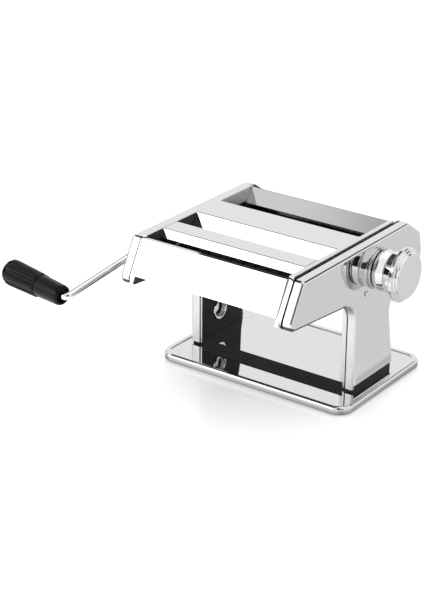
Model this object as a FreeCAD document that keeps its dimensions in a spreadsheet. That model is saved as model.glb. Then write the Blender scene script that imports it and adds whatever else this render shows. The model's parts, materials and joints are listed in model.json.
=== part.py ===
"""Hand-cranked pasta roller machine, built as separate sub-parts in one shared frame.

Origin: centre of the base footprint on the table.  +X towards the setting knob,
+Y towards the back, +Z up.  Every length is in millimetres.
"""
import FreeCAD, Part
import math
import os
import re

Vector = FreeCAD.Vector
Rotation = FreeCAD.Rotation
Placement = FreeCAD.Placement

doc = FreeCAD.newDocument("pasta_roller_machine")
sheet = doc.addObject("Spreadsheet::Sheet", "Sheet")
nodes = []
row = 1


# ---------------------------------------------------------------- dimensions

def dimension(alias, amount, note):
    """Write one driving dimension and what it means into the sheet."""
    global row
    sheet.set("A%d" % row, note)
    sheet.set("B%d" % row, str(amount))
    sheet.setAlias("B%d" % row, alias)
    row += 1


dimension("gauge", 1.2, "thickness of the pressed steel sheet")
dimension("cover_face", 92, "outer face of a side cover from the middle")
dimension("cover_lip", 83.0, "inner edge of a side cover's skirt")
dimension("frame_lip", 81.1, "outer edge of a side frame's skirt")
dimension("frame_face", 79.3, "inner face of a side frame")
dimension("opening_half", 76, "half the width of the dough openings")
dimension("roller_half", 75.5, "half the length of every roller barrel")
dimension("head_top", 147.8, "top edge of the side frames")
dimension("band_top", 149.8, "top face of the top sheet metal")
dimension("foot_level", 15, "level the side frames stand on")
dimension("plinth_top", 14, "top of the black spacer")
dimension("plinth_bottom", 8, "field of the base pan")
dimension("plinth_front", -34, "front of the black spacer")
dimension("plinth_rear", 31.8, "rear of the black spacer")
dimension("base_half_width", 104, "half the width of the base pan")
dimension("base_half_depth", 71.5, "half the depth of the base pan")
dimension("base_lift", 1, "gap from the table to the base pan rim")
dimension("bead_top", 8.8, "top of the rolled rim of the base pan")
dimension("shaft_radius", 6, "journal radius of every roller")
dimension("running_gap", 0.05, "radial clearance of a running shaft")
dimension("socket_radius", 3.55, "bore that takes the crank")
dimension("socket_depth", 20, "depth of the crank bore")
dimension("shaft_end", 91.4, "left end of the driven shafts")
dimension("smooth_radius", 14, "radius of the two smooth rollers")
dimension("drive_back", 32.5, "driven smooth roller, distance behind the middle")
dimension("adjust_back", 2, "adjustable smooth roller at the widest setting")
dimension("smooth_level", 118, "height of both smooth rollers")
dimension("adjust_travel", 2.2, "how far the adjustable roller moves")
dimension("knob_back", 3, "setting knob axis, distance behind the middle")
dimension("cutter_radius", 11.5, "radius over the cutting discs")
dimension("cutter_core", 9.1, "radius of a cutting roller between discs")
dimension("cutter_spacing", 21, "distance between the axes of a cutting pair")
dimension("wide_middle", -62.5, "middle of the wide cutting pair")
dimension("wide_level", 118, "height of the wide cutting pair")
dimension("narrow_middle", -112, "middle of the narrow cutting pair")
dimension("narrow_level", 124, "height of the narrow cutting pair")
dimension("rod_radius", 3.5, "radius of the crank rod")
dimension("crank_reach", 114.7, "where the crank rod bends, from the middle")
dimension("crank_arm", 122.3, "length of the crank arm")
dimension("crank_drop", 13.1, "degrees the crank arm points down")
dimension("crank_lean", 8.6, "degrees the crank arm leans outwards")
dimension("tie_radius", 3, "radius of the cross tie rods")
dimension("clamp_level", 38.3, "height of the table clamp hole")
dimension("clamp_back", -10, "table clamp hole, distance behind the middle")
dimension("clamp_bore", 7.5, "radius of the table clamp hole")
doc.recompute()


def value(alias):
    """Number stored in the sheet under an alias."""
    return float(sheet.get(alias))


def bind(item, prop, formula):
    """Drive a property from the sheet; a plain number is set directly."""
    linked = re.sub("[a-z_]+", lambda word: "Sheet." + word.group(0), str(formula))
    item.setExpression(prop, linked)


# ---------------------------------------------------------------- outlines

def unit(vector):
    """Vector of length one."""
    return Vector(vector).normalize()


def draw_outline(sketch, corners):
    """Closed outline of straight sides; each corner is (u, v, radius)."""
    arrivals = []
    departures = []
    bends = []
    count = len(corners)
    for index in range(count):
        point = Vector(corners[index][0], corners[index][1], 0)
        before = corners[index - 1]
        after = corners[(index + 1) % count]
        radius = corners[index][2]
        back = unit(Vector(before[0], before[1], 0) - point)
        ahead = unit(Vector(after[0], after[1], 0) - point)
        if radius <= 0:
            arrivals.append(point)
            departures.append(point)
            bends.append(None)
            continue
        half = back.getAngle(ahead) / 2
        reach = radius / math.tan(half)
        bisector = unit(back + ahead)
        centre = point + bisector * (radius / math.sin(half))
        arrivals.append(point + back * reach)
        departures.append(point + ahead * reach)
        bends.append(centre - bisector * radius)
    for index in range(count):
        if bends[index] is not None:
            arc = Part.Arc(arrivals[index], bends[index], departures[index])
            sketch.addGeometry(arc, False)
        start = departures[index]
        end = arrivals[(index + 1) % count]
        if start.distanceToPoint(end) > 0.001:
            sketch.addGeometry(Part.LineSegment(start, end), False)


def inset_outline(corners, wall):
    """Anticlockwise outline moved inwards by a wall thickness."""
    result = []
    count = len(corners)
    for index in range(count):
        point = Vector(corners[index][0], corners[index][1], 0)
        before = Vector(corners[index - 1][0], corners[index - 1][1], 0)
        after = Vector(corners[(index + 1) % count][0], corners[(index + 1) % count][1], 0)
        first = unit(point - before)
        second = unit(after - point)
        turn = first.x * second.y - first.y * second.x
        left = Vector(-first.y, first.x, 0)
        other = Vector(-second.y, second.x, 0)
        shift = (left + other) * (wall / (1 + left.dot(other)))
        radius = corners[index][2]
        if radius > 0:
            radius = max(radius - wall, 0.2) if turn > 0 else radius + wall
        result.append((point.x + shift.x, point.y + shift.y, radius))
    return result


def sheet_path(points, wall):
    """Outline of a bent sheet: a path and the same path moved to its left."""
    outer = [Vector(u, v, 0) for u, v in points]
    inner = []
    for index, point in enumerate(outer):
        before = outer[index - 1] if index > 0 else None
        after = outer[index + 1] if index + 1 < len(outer) else None
        first = unit(point - before) if before else unit(after - point)
        second = unit(after - point) if after else first
        left = Vector(-first.y, first.x, 0)
        other = Vector(-second.y, second.x, 0)
        inner.append(point + (left + other) * (wall / (1 + left.dot(other))))
    inner.reverse()
    return [(point.x, point.y, 0) for point in outer + inner]


# ---------------------------------------------------------------- builders

def plane_of(body, role):
    """One of the three origin planes of a body."""
    for feature in body.Origin.OriginFeatures:
        if feature.Role == role:
            return feature
    return None


def sketch_on(body, name, role, offset):
    """Sketch on an origin plane of its own body, lifted along the plane's normal."""
    sketch = body.newObject("Sketcher::SketchObject", name)
    sketch.AttachmentSupport = [(plane_of(body, role), "")]
    sketch.MapMode = "FlatFace"
    bind(sketch, "AttachmentOffset.Base.z", offset)
    return sketch


def prism(name, role, corners, start, end):
    """Outline pushed along the normal of an origin plane, from start to end."""
    body = doc.addObject("PartDesign::Body", name)
    sketch = sketch_on(body, name + "_outline", role, start)
    draw_outline(sketch, corners)
    pad = body.newObject("PartDesign::Pad", name + "_pad")
    pad.Profile = sketch
    bind(pad, "Length", "( " + str(end) + " ) - ( " + str(start) + " )")
    sketch.Visibility = False
    body.Tip = pad
    return body


def across(name, corners, start, end):
    """Prism along X from a (y, z) outline."""
    return prism(name, "YZ_Plane", corners, start, end)


def turned(name, profile, back, level):
    """Solid turned about an axis parallel to X from (x, radius) points."""
    body = doc.addObject("PartDesign::Body", name)
    sketch = sketch_on(body, name + "_profile", "XY_Plane", 0)
    draw_outline(sketch, [(x, radius, 0) for x, radius in profile])
    turn = body.newObject("PartDesign::Revolution", name + "_turn")
    turn.Profile = sketch
    turn.ReferenceAxis = (sketch, ["H_Axis"])
    turn.Angle = 360
    sketch.Visibility = False
    body.Tip = turn
    bind(body, "Placement.Base.y", back)
    bind(body, "Placement.Base.z", level)
    return body


def block(name, x_span, y_span, z_span):
    """Rectangular block between pairs of bound limits."""
    box = doc.addObject("Part::Box", name)
    for size, spot, span in zip(("Length", "Width", "Height"), "xyz", (x_span, y_span, z_span)):
        bind(box, size, "( %s ) - ( %s )" % (span[1], span[0]))
        bind(box, "Placement.Base." + spot, span[0])
    return box


def rod_across(name, radius, start, end, back, level):
    """Plain cylinder along X."""
    rod = doc.addObject("Part::Cylinder", name)
    bind(rod, "Radius", radius)
    bind(rod, "Height", "( %s ) - ( %s )" % (end, start))
    rod.Placement = Placement(Vector(0, 0, 0), Rotation(Vector(0, 1, 0), 90))
    bind(rod, "Placement.Base.x", start)
    bind(rod, "Placement.Base.y", back)
    bind(rod, "Placement.Base.z", level)
    return rod


def post(name, radius, bottom, top, side, back):
    """Plain cylinder along Z."""
    rod = doc.addObject("Part::Cylinder", name)
    bind(rod, "Radius", radius)
    bind(rod, "Height", "( %s ) - ( %s )" % (top, bottom))
    bind(rod, "Placement.Base.x", side)
    bind(rod, "Placement.Base.y", back)
    bind(rod, "Placement.Base.z", bottom)
    return rod


def join(name, pieces):
    """Fuse several solids into one."""
    fused = doc.addObject("Part::MultiFuse", name)
    fused.Shapes = pieces
    return fused


def cut(name, base, tools):
    """Take one or more solids away from a base."""
    result = doc.addObject("Part::Cut", name)
    result.Base = base
    if len(tools) == 1:
        result.Tool = tools[0]
    else:
        result.Tool = join(name + "_tools", tools)
    return result


def gather(name, pieces):
    """Keep several separate solids together as one sub-part."""
    group = doc.addObject("Part::Compound", name)
    group.Links = pieces
    return group


def ring(name, outer, inner, start, end, back, level):
    """Tube along X."""
    wall = rod_across(name + "_wall", outer, start, end, back, level)
    bore = rod_across(name + "_bore", inner, "%s - 1" % start, "%s + 1" % end, back, level)
    return cut(name, wall, [bore])


def node(label, item):
    """Register a finished sub-part under its node name."""
    item.Label = label
    nodes.append((label, item))


def round_edges(name, body, radius, keep):
    """Fillet the body's edges that pass a test on their end points."""
    doc.recompute()
    base = body.Tip
    names = []
    for index, edge in enumerate(base.Shape.Edges):
        if all(keep(vertex.Point) for vertex in edge.Vertexes):
            names.append("Edge%d" % (index + 1))
    fillet = body.newObject("PartDesign::Fillet", name)
    fillet.Base = (base, names)
    bind(fillet, "Radius", radius)
    body.Tip = fillet


# ---------------------------------------------------------------- base

def rounded_plan(half_width, half_depth, radius):
    """Anticlockwise plan of a rounded rectangle about the middle."""
    return [(-half_width, -half_depth, radius), (half_width, -half_depth, radius),
            (half_width, half_depth, radius), (-half_width, half_depth, radius)]


def build_base():
    """Pressed base pan with a rolled rim, its feet and its screws."""
    width = value("base_half_width")
    depth = value("base_half_depth")
    gauge = value("gauge")
    rim = 6.0
    corner = 15.0
    pan = prism("pan", "XY_Plane", rounded_plan(width, depth, corner), "base_lift", "bead_top")
    top = value("bead_top")
    round_edges("pan_bead", pan, 3.2, lambda point: abs(point.z - top) < 0.01)
    low = value("base_lift")
    round_edges("pan_curl", pan, 1.5, lambda point: abs(point.z - low) < 0.01)
    field = prism("pan_field", "XY_Plane", rounded_plan(width - rim, depth - rim, corner - rim),
                  "plinth_bottom", "bead_top + 1")
    hollow = prism("pan_hollow", "XY_Plane",
                   rounded_plan(width - gauge - 1.6, depth - gauge - 1.6, corner - gauge - 1.6),
                   "base_lift - 1", "plinth_bottom - gauge")
    holes = []
    for side in (-85, 85):
        for back in (-20, 18):
            holes.append(post("pan_hole", 2.1, 0, 10, side, back))
    node("base_pan", cut("base_pan", pan, [field, hollow] + holes))
    feet = []
    for side in (-86, 86):
        for back in (-54, 54):
            pad = post("foot_pad", 8, 0, "plinth_bottom - gauge", side, back)
            feet.append(pad)
    feet.append(post("middle_pad", 10, 0, "plinth_bottom - gauge", 0, 0))
    node("rubber_feet", gather("rubber_feet", feet))
    spacer = block("spacer", ("-90", "90"), ("plinth_front", "plinth_rear"),
                   ("plinth_bottom", "plinth_top"))
    deck = block("deck", ("-90.5", "90.5"), ("plinth_front - 0.4", "plinth_rear + 0.5"),
                 ("plinth_top", "foot_level"))
    spacer_holes = []
    deck_holes = []
    screws = []
    nuts = []
    for side in (-85, 85):
        for back in (-20, 18):
            spacer_holes.append(post("spacer_hole", 2.1, 7, 15, side, back))
            deck_holes.append(post("deck_hole", 2.1, 13, 16, side, back))
            shank = post("screw_shank", 2, 6.8, 22, side, back)
            head = post("screw_head", 4, 4.4, 6.8, side, back)
            screws.append(join("base_screw", [shank, head]))
            nut = doc.addObject("Part::Prism", "nut_blank")
            nut.Polygon = 6
            nut.Circumradius = 3.9
            nut.Height = 3
            nut.Placement = Placement(Vector(side, back, 16.5), Rotation())
            nuts.append(cut("base_nut", nut, [post("nut_hole", 2, 16, 20, side, back)]))
    node("plinth_spacer", cut("plinth_spacer", spacer, spacer_holes))
    node("deck_plate", cut("deck_plate", deck, deck_holes))
    node("base_screws", gather("base_screws", screws))
    node("base_nuts", gather("base_nuts", nuts))


# ---------------------------------------------------------------- sides

def side_outline(foot):
    """Anticlockwise (y, z) outline of a side, head and leg in one."""
    top = value("head_top")
    return [(-34.7, foot, 0.6), (34.2, foot, 0.6), (21.5, 81.0, 18.0), (76.0, 100.4, 9.0),
            (78.0, 113.0, 4.0), (74.0, 131.5, 6.0), (50.0, top, 6.0), (-125.0, top, 3.5),
            (-147.2, 107.0, 7.0), (-35.2, 97.6, 20.0)]


def side_span(side, near, far):
    """Limits along X for a side, with the smaller first."""
    if side > 0:
        return near, far
    return "-( %s )" % far, "-( %s )" % near


SHAFTS = {
    "drive": ("drive_back", "smooth_level"),
    "wide_rear": ("wide_middle + cutter_spacing / 2", "wide_level"),
    "wide_front": ("wide_middle - cutter_spacing / 2", "wide_level"),
    "narrow_rear": ("narrow_middle + cutter_spacing / 2", "narrow_level"),
    "narrow_front": ("narrow_middle - cutter_spacing / 2", "narrow_level"),
}
DRIVEN = ("drive", "wide_rear", "narrow_rear")
TIES = ((-89, 139.5), (-30, 139.5), (60, 124), (-18, 98))
STANDOFFS = ((-70, 138), (62, 110), (-5, 60))
BAR = (-16, 112)
CHEEKS = (("-123.5", "-94"), ("-84", "-35"))


def build_frame(side, name):
    """Side frame: a pressed plate with a skirt turned outwards and a foot flange."""
    gauge = value("gauge")
    outline = side_outline(value("foot_level"))
    start, end = side_span(side, "frame_face", "frame_lip")
    plate = across(name + "_plate", outline, start, end)
    start, end = side_span(side, "frame_face + gauge", "frame_lip + 1")
    hollow = across(name + "_hollow", inset_outline(outline, gauge), start, end)
    tools = [hollow]
    start, end = side_span(side, "70", "90")
    for shaft in SHAFTS:
        back, level = SHAFTS[shaft]
        tools.append(rod_across(name + "_bearing_hole", 8, start, end, back, level))
    for back, level in TIES:
        tools.append(rod_across(name + "_tie_hole", "tie_radius", start, end, back, level))
    if side < 0:
        tools.append(rod_across(name + "_clamp_hole", 9.5, start, end, "clamp_back", "clamp_level"))
    tools.append(block(name + "_journal_slot", (start, end), ("-6", "12.2"), ("110", "126")))
    tools.append(block(name + "_bar_slot", (start, end), ("-20.5", "-8.5"), ("108.2", "115.8")))
    shell = cut(name + "_shell", plate, tools)
    start, end = side_span(side, "frame_face + gauge", "89.5")
    flange = block(name + "_flange", (start, end), ("-30", "27"), ("foot_level", "16.5"))
    holes = []
    for back in (-20, 18):
        holes.append(post(name + "_flange_hole", 2.1, 14, 18, 85 * side, back))
    foot = cut(name + "_foot", flange, holes)
    node(name, join(name, [shell, foot]))


def build_cover(side, name):
    """Outer side cover: a deep pressed pan with rounded edges."""
    gauge = value("gauge")
    outline = side_outline(10.0)
    outline[0] = (-35.9, 10.0, 0.6)
    outline[-1] = (-36.4, 97.6, 20.0)
    start, end = side_span(side, "cover_lip", "cover_face")
    pan = across(name + "_pan", outline, start, end)
    face = side * value("cover_face")
    round_edges(name + "_edge", pan, 3.4, lambda point: abs(point.x - face) < 0.01)
    start, end = side_span(side, "cover_lip - 1", "cover_face - gauge")
    hollow = across(name + "_hollow", inset_outline(outline, gauge), start, end)
    start, end = side_span(side, "70", "100")
    gap = block(name + "_gap", (start, end), ("plinth_front - 0.6", "60"), ("0", "foot_level"))
    tools = [hollow, gap]
    if side > 0:
        tools.append(rod_across(name + "_knob_hole", 9, start, end, "knob_back", "smooth_level"))
    else:
        for shaft in DRIVEN:
            back, level = SHAFTS[shaft]
            tools.append(rod_across(name + "_socket_hole", 7, start, end, back, level))
        tools.append(rod_across(name + "_clamp_hole", 9.5, start, end, "clamp_back", "clamp_level"))
    node(name, cut(name, pan, tools))


def build_liner(side, name):
    """Facing on the inside of one leg; the left one has the clamp hole in it."""
    outline = [(-34.7, 15.05, 0.5), (27.4, 15.05, 0.5), (26.2, 50.0, 3.0), (20.0, 80.0, 3.0),
               (18.5, 97.2, 3.0), (-34.7, 97.2, 0.5)]
    start, end = side_span(side, "opening_half + 0.2", "frame_face")
    plate = across(name + "_plate", outline, start, end)
    start, end = side_span(side, "70", "90")
    tools = [rod_across(name + "_tie_hole", 4.5, start, end, TIES[3][0], TIES[3][1])]
    if side < 0:
        tools.append(rod_across(name + "_clamp_hole", 9.5, start, end, "clamp_back", "clamp_level"))
    node(name, cut(name, plate, tools))


def build_clamp_collar():
    """Pressed collar that lines the table clamp hole in the left leg."""
    profile = [(-76.2, 9.5), (-76.2, 10.6), (-75.4, 10.6), (-75.0, 10.2), (-75.0, 8.2), (-75.6, 7.5),
               (-91.6, 7.5), (-91.6, 9.5)]
    collar = turned("collar", profile, "clamp_back", "clamp_level")
    node("clamp_collar", collar)


def build_standoffs(side, name):
    """Short posts that hold a cover to its frame."""
    posts = []
    for back, level in STANDOFFS:
        start, end = side_span(side, "frame_face + gauge", "cover_face - gauge")
        posts.append(rod_across(name + "_post", 3.5, start, end, back, level))
    node(name, gather(name, posts))


# ---------------------------------------------------------------- sheet metal

def build_apron():
    """Sloping front panel with a hemmed top edge and side margins."""
    start = (-127.5, 147.6)
    end = (-142.9, 117.0)
    path = [(-124.6, 148.2), start, end, (-136.5, 115.6)]
    panel = across("apron_panel", sheet_path(path, 1.0), "-opening_half", "opening_half")
    pieces = [panel]
    for side in (-1, 1):
        low, high = side_span(side, "opening_half", "frame_face")
        margin_path = [(-125.4, 147.2), (-145.4, 110.4)]
        margin = across("apron_margin", sheet_path(margin_path, 1.2), low, high)
        low, high = side_span(side, "opening_half - 1", "opening_half")
        cheek = across("apron_cheek", [(-127.5, 147.6, 0), (-142.9, 117.0, 0), (-140.6, 117.0, 0),
                                       (-124.2, 147.0, 0)], low, high)
        pieces.extend([margin, cheek])
    node("front_apron", join("front_apron", pieces))


def build_divider():
    """Strip between the two cutter slots, with its sloping front wall."""
    top = value("band_top")
    path = [(-104.6, 142.0), (-99.7, top), (-80.2, top), (-78.9, top - 0.6), (-78.7, top - 2.6)]
    path.reverse()
    strip = across("divider_strip", sheet_path(path, 1.0), "-opening_half", "opening_half")
    node("front_divider", strip)


def build_top_cover():
    """Top sheet: the strip in front of the hopper, both side bands and the slot cheeks."""
    top = value("band_top")
    path = [(-3.6, 135.0), (-11.7, top), (-48.4, top), (-56.0, 137.7)]
    pieces = [across("cover_strip", sheet_path(path, 1.0), "-opening_half", "opening_half")]
    for side in (-1, 1):
        start, end = side_span(side, "opening_half", "frame_lip")
        pieces.append(block("cover_band", (start, end), ("-124.5", "41"), ("head_top", "band_top")))
        start, end = side_span(side, "opening_half", "opening_half + 1")
        pieces.append(block("cover_cheek", (start, end), ("-25", "38"), ("136.5", "head_top")))
    node("top_cover", join("top_cover", pieces))
    cheeks = []
    for side in (-1, 1):
        start, end = side_span(side, "opening_half", "opening_half + 1")
        for y_span in CHEEKS:
            cheeks.append(block("slot_cheek", (start, end), y_span, ("132", "head_top")))
    node("slot_cheeks", gather("slot_cheeks", cheeks))


def build_rear_sheets():
    """Sloping hopper plate and the bent cover over the back of the head."""
    plate = across("plate", sheet_path([(39.8, 149.2), (30.2, 135.0)], 1.0),
                   "-opening_half", "opening_half")
    node("hopper_plate", plate)
    path = [(75.0, 104.0), (76.8, 113.0), (71.8, 129.6), (41.7, 148.4)]
    rear = across("rear", sheet_path(path, 1.0), "-frame_face", "frame_face")
    node("rear_cover", rear)


def build_ties():
    """Cross rods that space the two frames, with a nut at each end."""
    rods = []
    nuts = []
    for back, level in TIES:
        barrel = rod_across("tie_barrel", 4.5, "-frame_face", "frame_face", back, level)
        thread = rod_across("tie_thread", "tie_radius", "-86", "86", back, level)
        rods.append(join("tie_rod", [barrel, thread]))
        for side in (-1, 1):
            start, end = side_span(side, "frame_face + gauge", "84.5")
            nuts.append(ring("tie_nut", 5, "tie_radius", start, end, back, level))
    node("tie_rods", gather("tie_rods", rods))
    node("tie_nuts", gather("tie_nuts", nuts))


# ---------------------------------------------------------------- bearings and scrapers

def build_bushes(side, name):
    """Flanged bushes that carry the fixed-axis rollers in one frame."""
    bushes = []
    for shaft in SHAFTS:
        back, level = SHAFTS[shaft]
        start, end = side_span(side, "frame_face", "frame_face + gauge")
        sleeve = rod_across("bush_sleeve", 8, start, end, back, level)
        start, end = side_span(side, "frame_face + gauge", "82")
        flange = rod_across("bush_flange", 9.6, start, end, back, level)
        start, end = side_span(side, "70", "90")
        bore = rod_across("bush_bore", "shaft_radius + running_gap", start, end, back, level)
        bushes.append(cut("bush", join("bush_blank", [sleeve, flange]), [bore]))
    node(name, gather(name, bushes))


def build_guides(side, name):
    """Upper and lower rails the carriage block slides between."""
    rails = []
    start, end = side_span(side, "frame_face + gauge", "83.2")
    rails.append(block("guide_rail", (start, end), ("-22", "20"), ("128.05", "131")))
    rails.append(block("guide_rail", (start, end), ("-22", "20"), ("104.5", "107.95")))
    node(name, gather(name, rails))


def build_scrapers():
    """Blades that keep dough off the smooth rollers."""
    node("scraper_adjust", block("scraper_adjust", ("-frame_face", "frame_face"),
                                 ("11.4", "12.4"), ("98", "104.9")))
    node("scraper_drive", block("scraper_drive", ("-frame_face", "frame_face"),
                                ("24.4", "25.4"), ("98", "104.6")))


def disc_middles(pitch, shift):
    """Middles of the cutting discs of one roller along X."""
    half = value("roller_half")
    middles = []
    index = -int(half / pitch) - 1
    while index * pitch + shift < half:
        middle = index * pitch + shift
        if middle - pitch / 2 > -half and middle + pitch / 2 < half:
            middles.append(middle)
        index += 1
    return middles


def build_comb(name, pitch, shift, middle, level, toward):
    """Finger comb in the grooves of one cutting roller."""
    bottom = level - 14.5
    spine = level - 12.2
    tip = level - 6.8
    half_finger = pitch / 4 - 0.25
    end = value("frame_face")
    groove_middles = [spot + pitch / 2 for spot in disc_middles(pitch, shift)][:-1]
    corners = [(-end, bottom, 0), (end, bottom, 0), (end, spine, 0)]
    for spot in reversed(groove_middles):
        corners.append((spot + half_finger, spine, 0))
        corners.append((spot + half_finger, tip, 0))
        corners.append((spot - half_finger, tip, 0))
        corners.append((spot - half_finger, spine, 0))
    corners.append((-end, spine, 0))
    near = middle + toward * 1.2
    far = middle + toward * 3.0
    comb = prism(name + "_blade", "XZ_Plane", corners, str(-max(near, far)), str(-min(near, far)))
    node(name, comb)


# ---------------------------------------------------------------- rollers and gears

def journal_profile(left, right, barrel, radius):
    """Outer (x, radius) steps of a roller between its two shaft ends."""
    shaft = value("shaft_radius")
    return [(left, 0), (left, shaft), (-barrel, shaft), (-barrel, radius - 0.4),
            (-barrel + 0.4, radius), (barrel - 0.4, radius), (barrel, radius - 0.4),
            (barrel, shaft), (right, shaft), (right, 0)]


def with_socket(name, body, back, level):
    """Bore the left end of a driven roller for the crank."""
    bore = rod_across(name + "_socket", "socket_radius", "-shaft_end - 1",
                      "socket_depth - shaft_end", back, level)
    return cut(name, body, [bore])


def build_smooth_rollers():
    """The driven and the adjustable smooth roller."""
    barrel = value("roller_half")
    radius = value("smooth_radius")
    left = -value("shaft_end")
    drive = turned("drive_blank", journal_profile(left, 83.5, barrel, radius),
                   "drive_back", "smooth_level")
    node("drive_roller", with_socket("drive_roller", drive, "drive_back", "smooth_level"))
    adjust = turned("adjust_blank", journal_profile(-89.6, 83.2, barrel, radius),
                    "adjust_back", "smooth_level")
    node("adjust_roller", adjust)


def cutter_profile(left, right, pitch, shift):
    """(x, radius) steps of a roller with cutting discs."""
    shaft = value("shaft_radius")
    barrel = value("roller_half")
    core = value("cutter_core")
    edge = value("cutter_radius")
    half_disc = pitch / 4 - 0.05
    points = [(left, 0), (left, shaft), (-barrel, shaft), (-barrel, core)]
    for middle in disc_middles(pitch, shift):
        points.append((middle - half_disc, core))
        points.append((middle - half_disc, edge))
        points.append((middle + half_disc, edge))
        points.append((middle + half_disc, core))
    points.extend([(barrel, core), (barrel, shaft), (right, shaft), (right, 0)])
    return points


def build_cutters(kind, pitch):
    """Front and rear roller of one cutting pair; the rear one takes the crank."""
    barrel_end = value("shaft_end")
    back, level = SHAFTS[kind + "_rear"]
    rear = turned(kind + "_rear_blank", cutter_profile(-barrel_end, 83.5, pitch, 0), back, level)
    node(kind + "_cutter_rear", with_socket(kind + "_cutter_rear", rear, back, level))
    back, level = SHAFTS[kind + "_front"]
    front = turned(kind + "_front_blank", cutter_profile(-89.6, 83.5, pitch, pitch / 2), back, level)
    node(kind + "_cutter_front", front)


def involute(base, angle):
    """Point of the involute of a base circle."""
    x = base * (math.cos(angle) + angle * math.sin(angle))
    y = base * (math.sin(angle) - angle * math.cos(angle))
    return x, y


def gear_outline(teeth, module, tip, root, pressure, backlash, turn):
    """(y, z) corners of an involute spur gear."""
    pitch_radius = teeth * module / 2
    base = pitch_radius * math.cos(pressure)
    flank_angle = math.tan(pressure) - pressure
    half_tooth = math.pi / (2 * teeth) - backlash / (2 * pitch_radius)
    samples = 6
    limit = math.sqrt((tip / base) ** 2 - 1)
    corners = []
    for tooth in range(teeth):
        middle = turn + 2 * math.pi * tooth / teeth
        flank = []
        for sample in range(samples):
            roll = limit * sample / (samples - 1)
            x, y = involute(base, roll)
            flank.append((math.hypot(x, y), math.atan2(y, x)))
        if root < base:
            flank.insert(0, (root, flank[0][1]))
        rising = [(r, middle - half_tooth - flank_angle + a) for r, a in flank]
        falling = [(r, middle + half_tooth + flank_angle - a) for r, a in flank]
        falling.reverse()
        for radius, angle in rising + falling:
            corners.append((radius * math.cos(angle), radius * math.sin(angle), 0))
    return corners


def build_gear(name, back, level, size, turn):
    """Spur gear on the left end of a roller, outside the frame."""
    teeth, module, tip, root, backlash = size
    outline = gear_outline(teeth, module, tip, root, math.radians(25), backlash, turn)
    wheel = across(name + "_teeth", outline, "-89.4", "-84.4")
    bind(wheel, "Placement.Base.y", back)
    bind(wheel, "Placement.Base.z", level)
    bore = rod_across(name + "_bore", "shaft_radius", "-92", "-80", back, level)
    node(name, cut(name, wheel, [bore]))


def build_gears():
    """The three pairs of equal gears that make each roller pair turn together."""
    smooth = (14, 2.0, 15.7, 12.3, 0.5)
    cutter = (14, 1.5, 11.9, 8.9, 0.35)
    half_step = math.pi / 14
    build_gear("gear_drive", "drive_back", "smooth_level", smooth, math.pi)
    build_gear("gear_adjust", "adjust_back", "smooth_level", smooth, half_step)
    for kind in ("wide", "narrow"):
        back, level = SHAFTS[kind + "_rear"]
        build_gear("gear_%s_rear" % kind, back, level, cutter, math.pi)
        back, level = SHAFTS[kind + "_front"]
        build_gear("gear_%s_front" % kind, back, level, cutter, half_step)


# ---------------------------------------------------------------- thickness setting

def build_carriage():
    """Blocks and cross bar that carry the adjustable roller."""
    back, level = BAR
    for side, name in ((-1, "carriage_left"), (1, "carriage_right")):
        start, end = side_span(side, "frame_face + gauge + 0.2", "83")
        plate = block(name + "_plate", (start, end), ("-21", "14"), ("108", "128"))
        start, end = side_span(side, "70", "90")
        bore = rod_across(name + "_bore", "shaft_radius + running_gap", start, end,
                          "adjust_back", "smooth_level")
        seat = rod_across(name + "_seat", 3, start, end, back, level)
        drilled = cut(name + "_drilled", plate, [bore, seat])
        if side > 0:
            pin = rod_across("cam_pin", 2, "83", "88.4", "knob_back + 8.05", "smooth_level")
            node(name, join(name, [drilled, pin]))
        else:
            node(name, drilled)
    node("carriage_bar", rod_across("carriage_bar", 3, "-83", "83", back, level))


def build_cam():
    """Spiral cam: its radius grows evenly over most of a turn."""
    low = 6.0
    rise = value("adjust_travel")
    lift_steps = 60
    corners = []
    for step in range(lift_steps + 1):
        angle = math.radians(300.0 * step / lift_steps)
        radius = low + rise * step / lift_steps
        corners.append((radius * math.cos(angle), radius * math.sin(angle), 0))
    for step in range(1, 10):
        angle = math.radians(300.0 + 6.0 * step)
        fall = max(0.0, 1.0 - step / 5.0)
        radius = low + rise * fall
        corners.append((radius * math.cos(angle), radius * math.sin(angle), 0))
    cam = across("cam_plate", corners, "84.2", "88.2")
    bind(cam, "Placement.Base.y", "knob_back")
    bind(cam, "Placement.Base.z", "smooth_level")
    bore = rod_across("cam_bore", 4, "80", "90", "knob_back", "smooth_level")
    node("knob_cam", cut("knob_cam", cam, [bore]))


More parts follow.
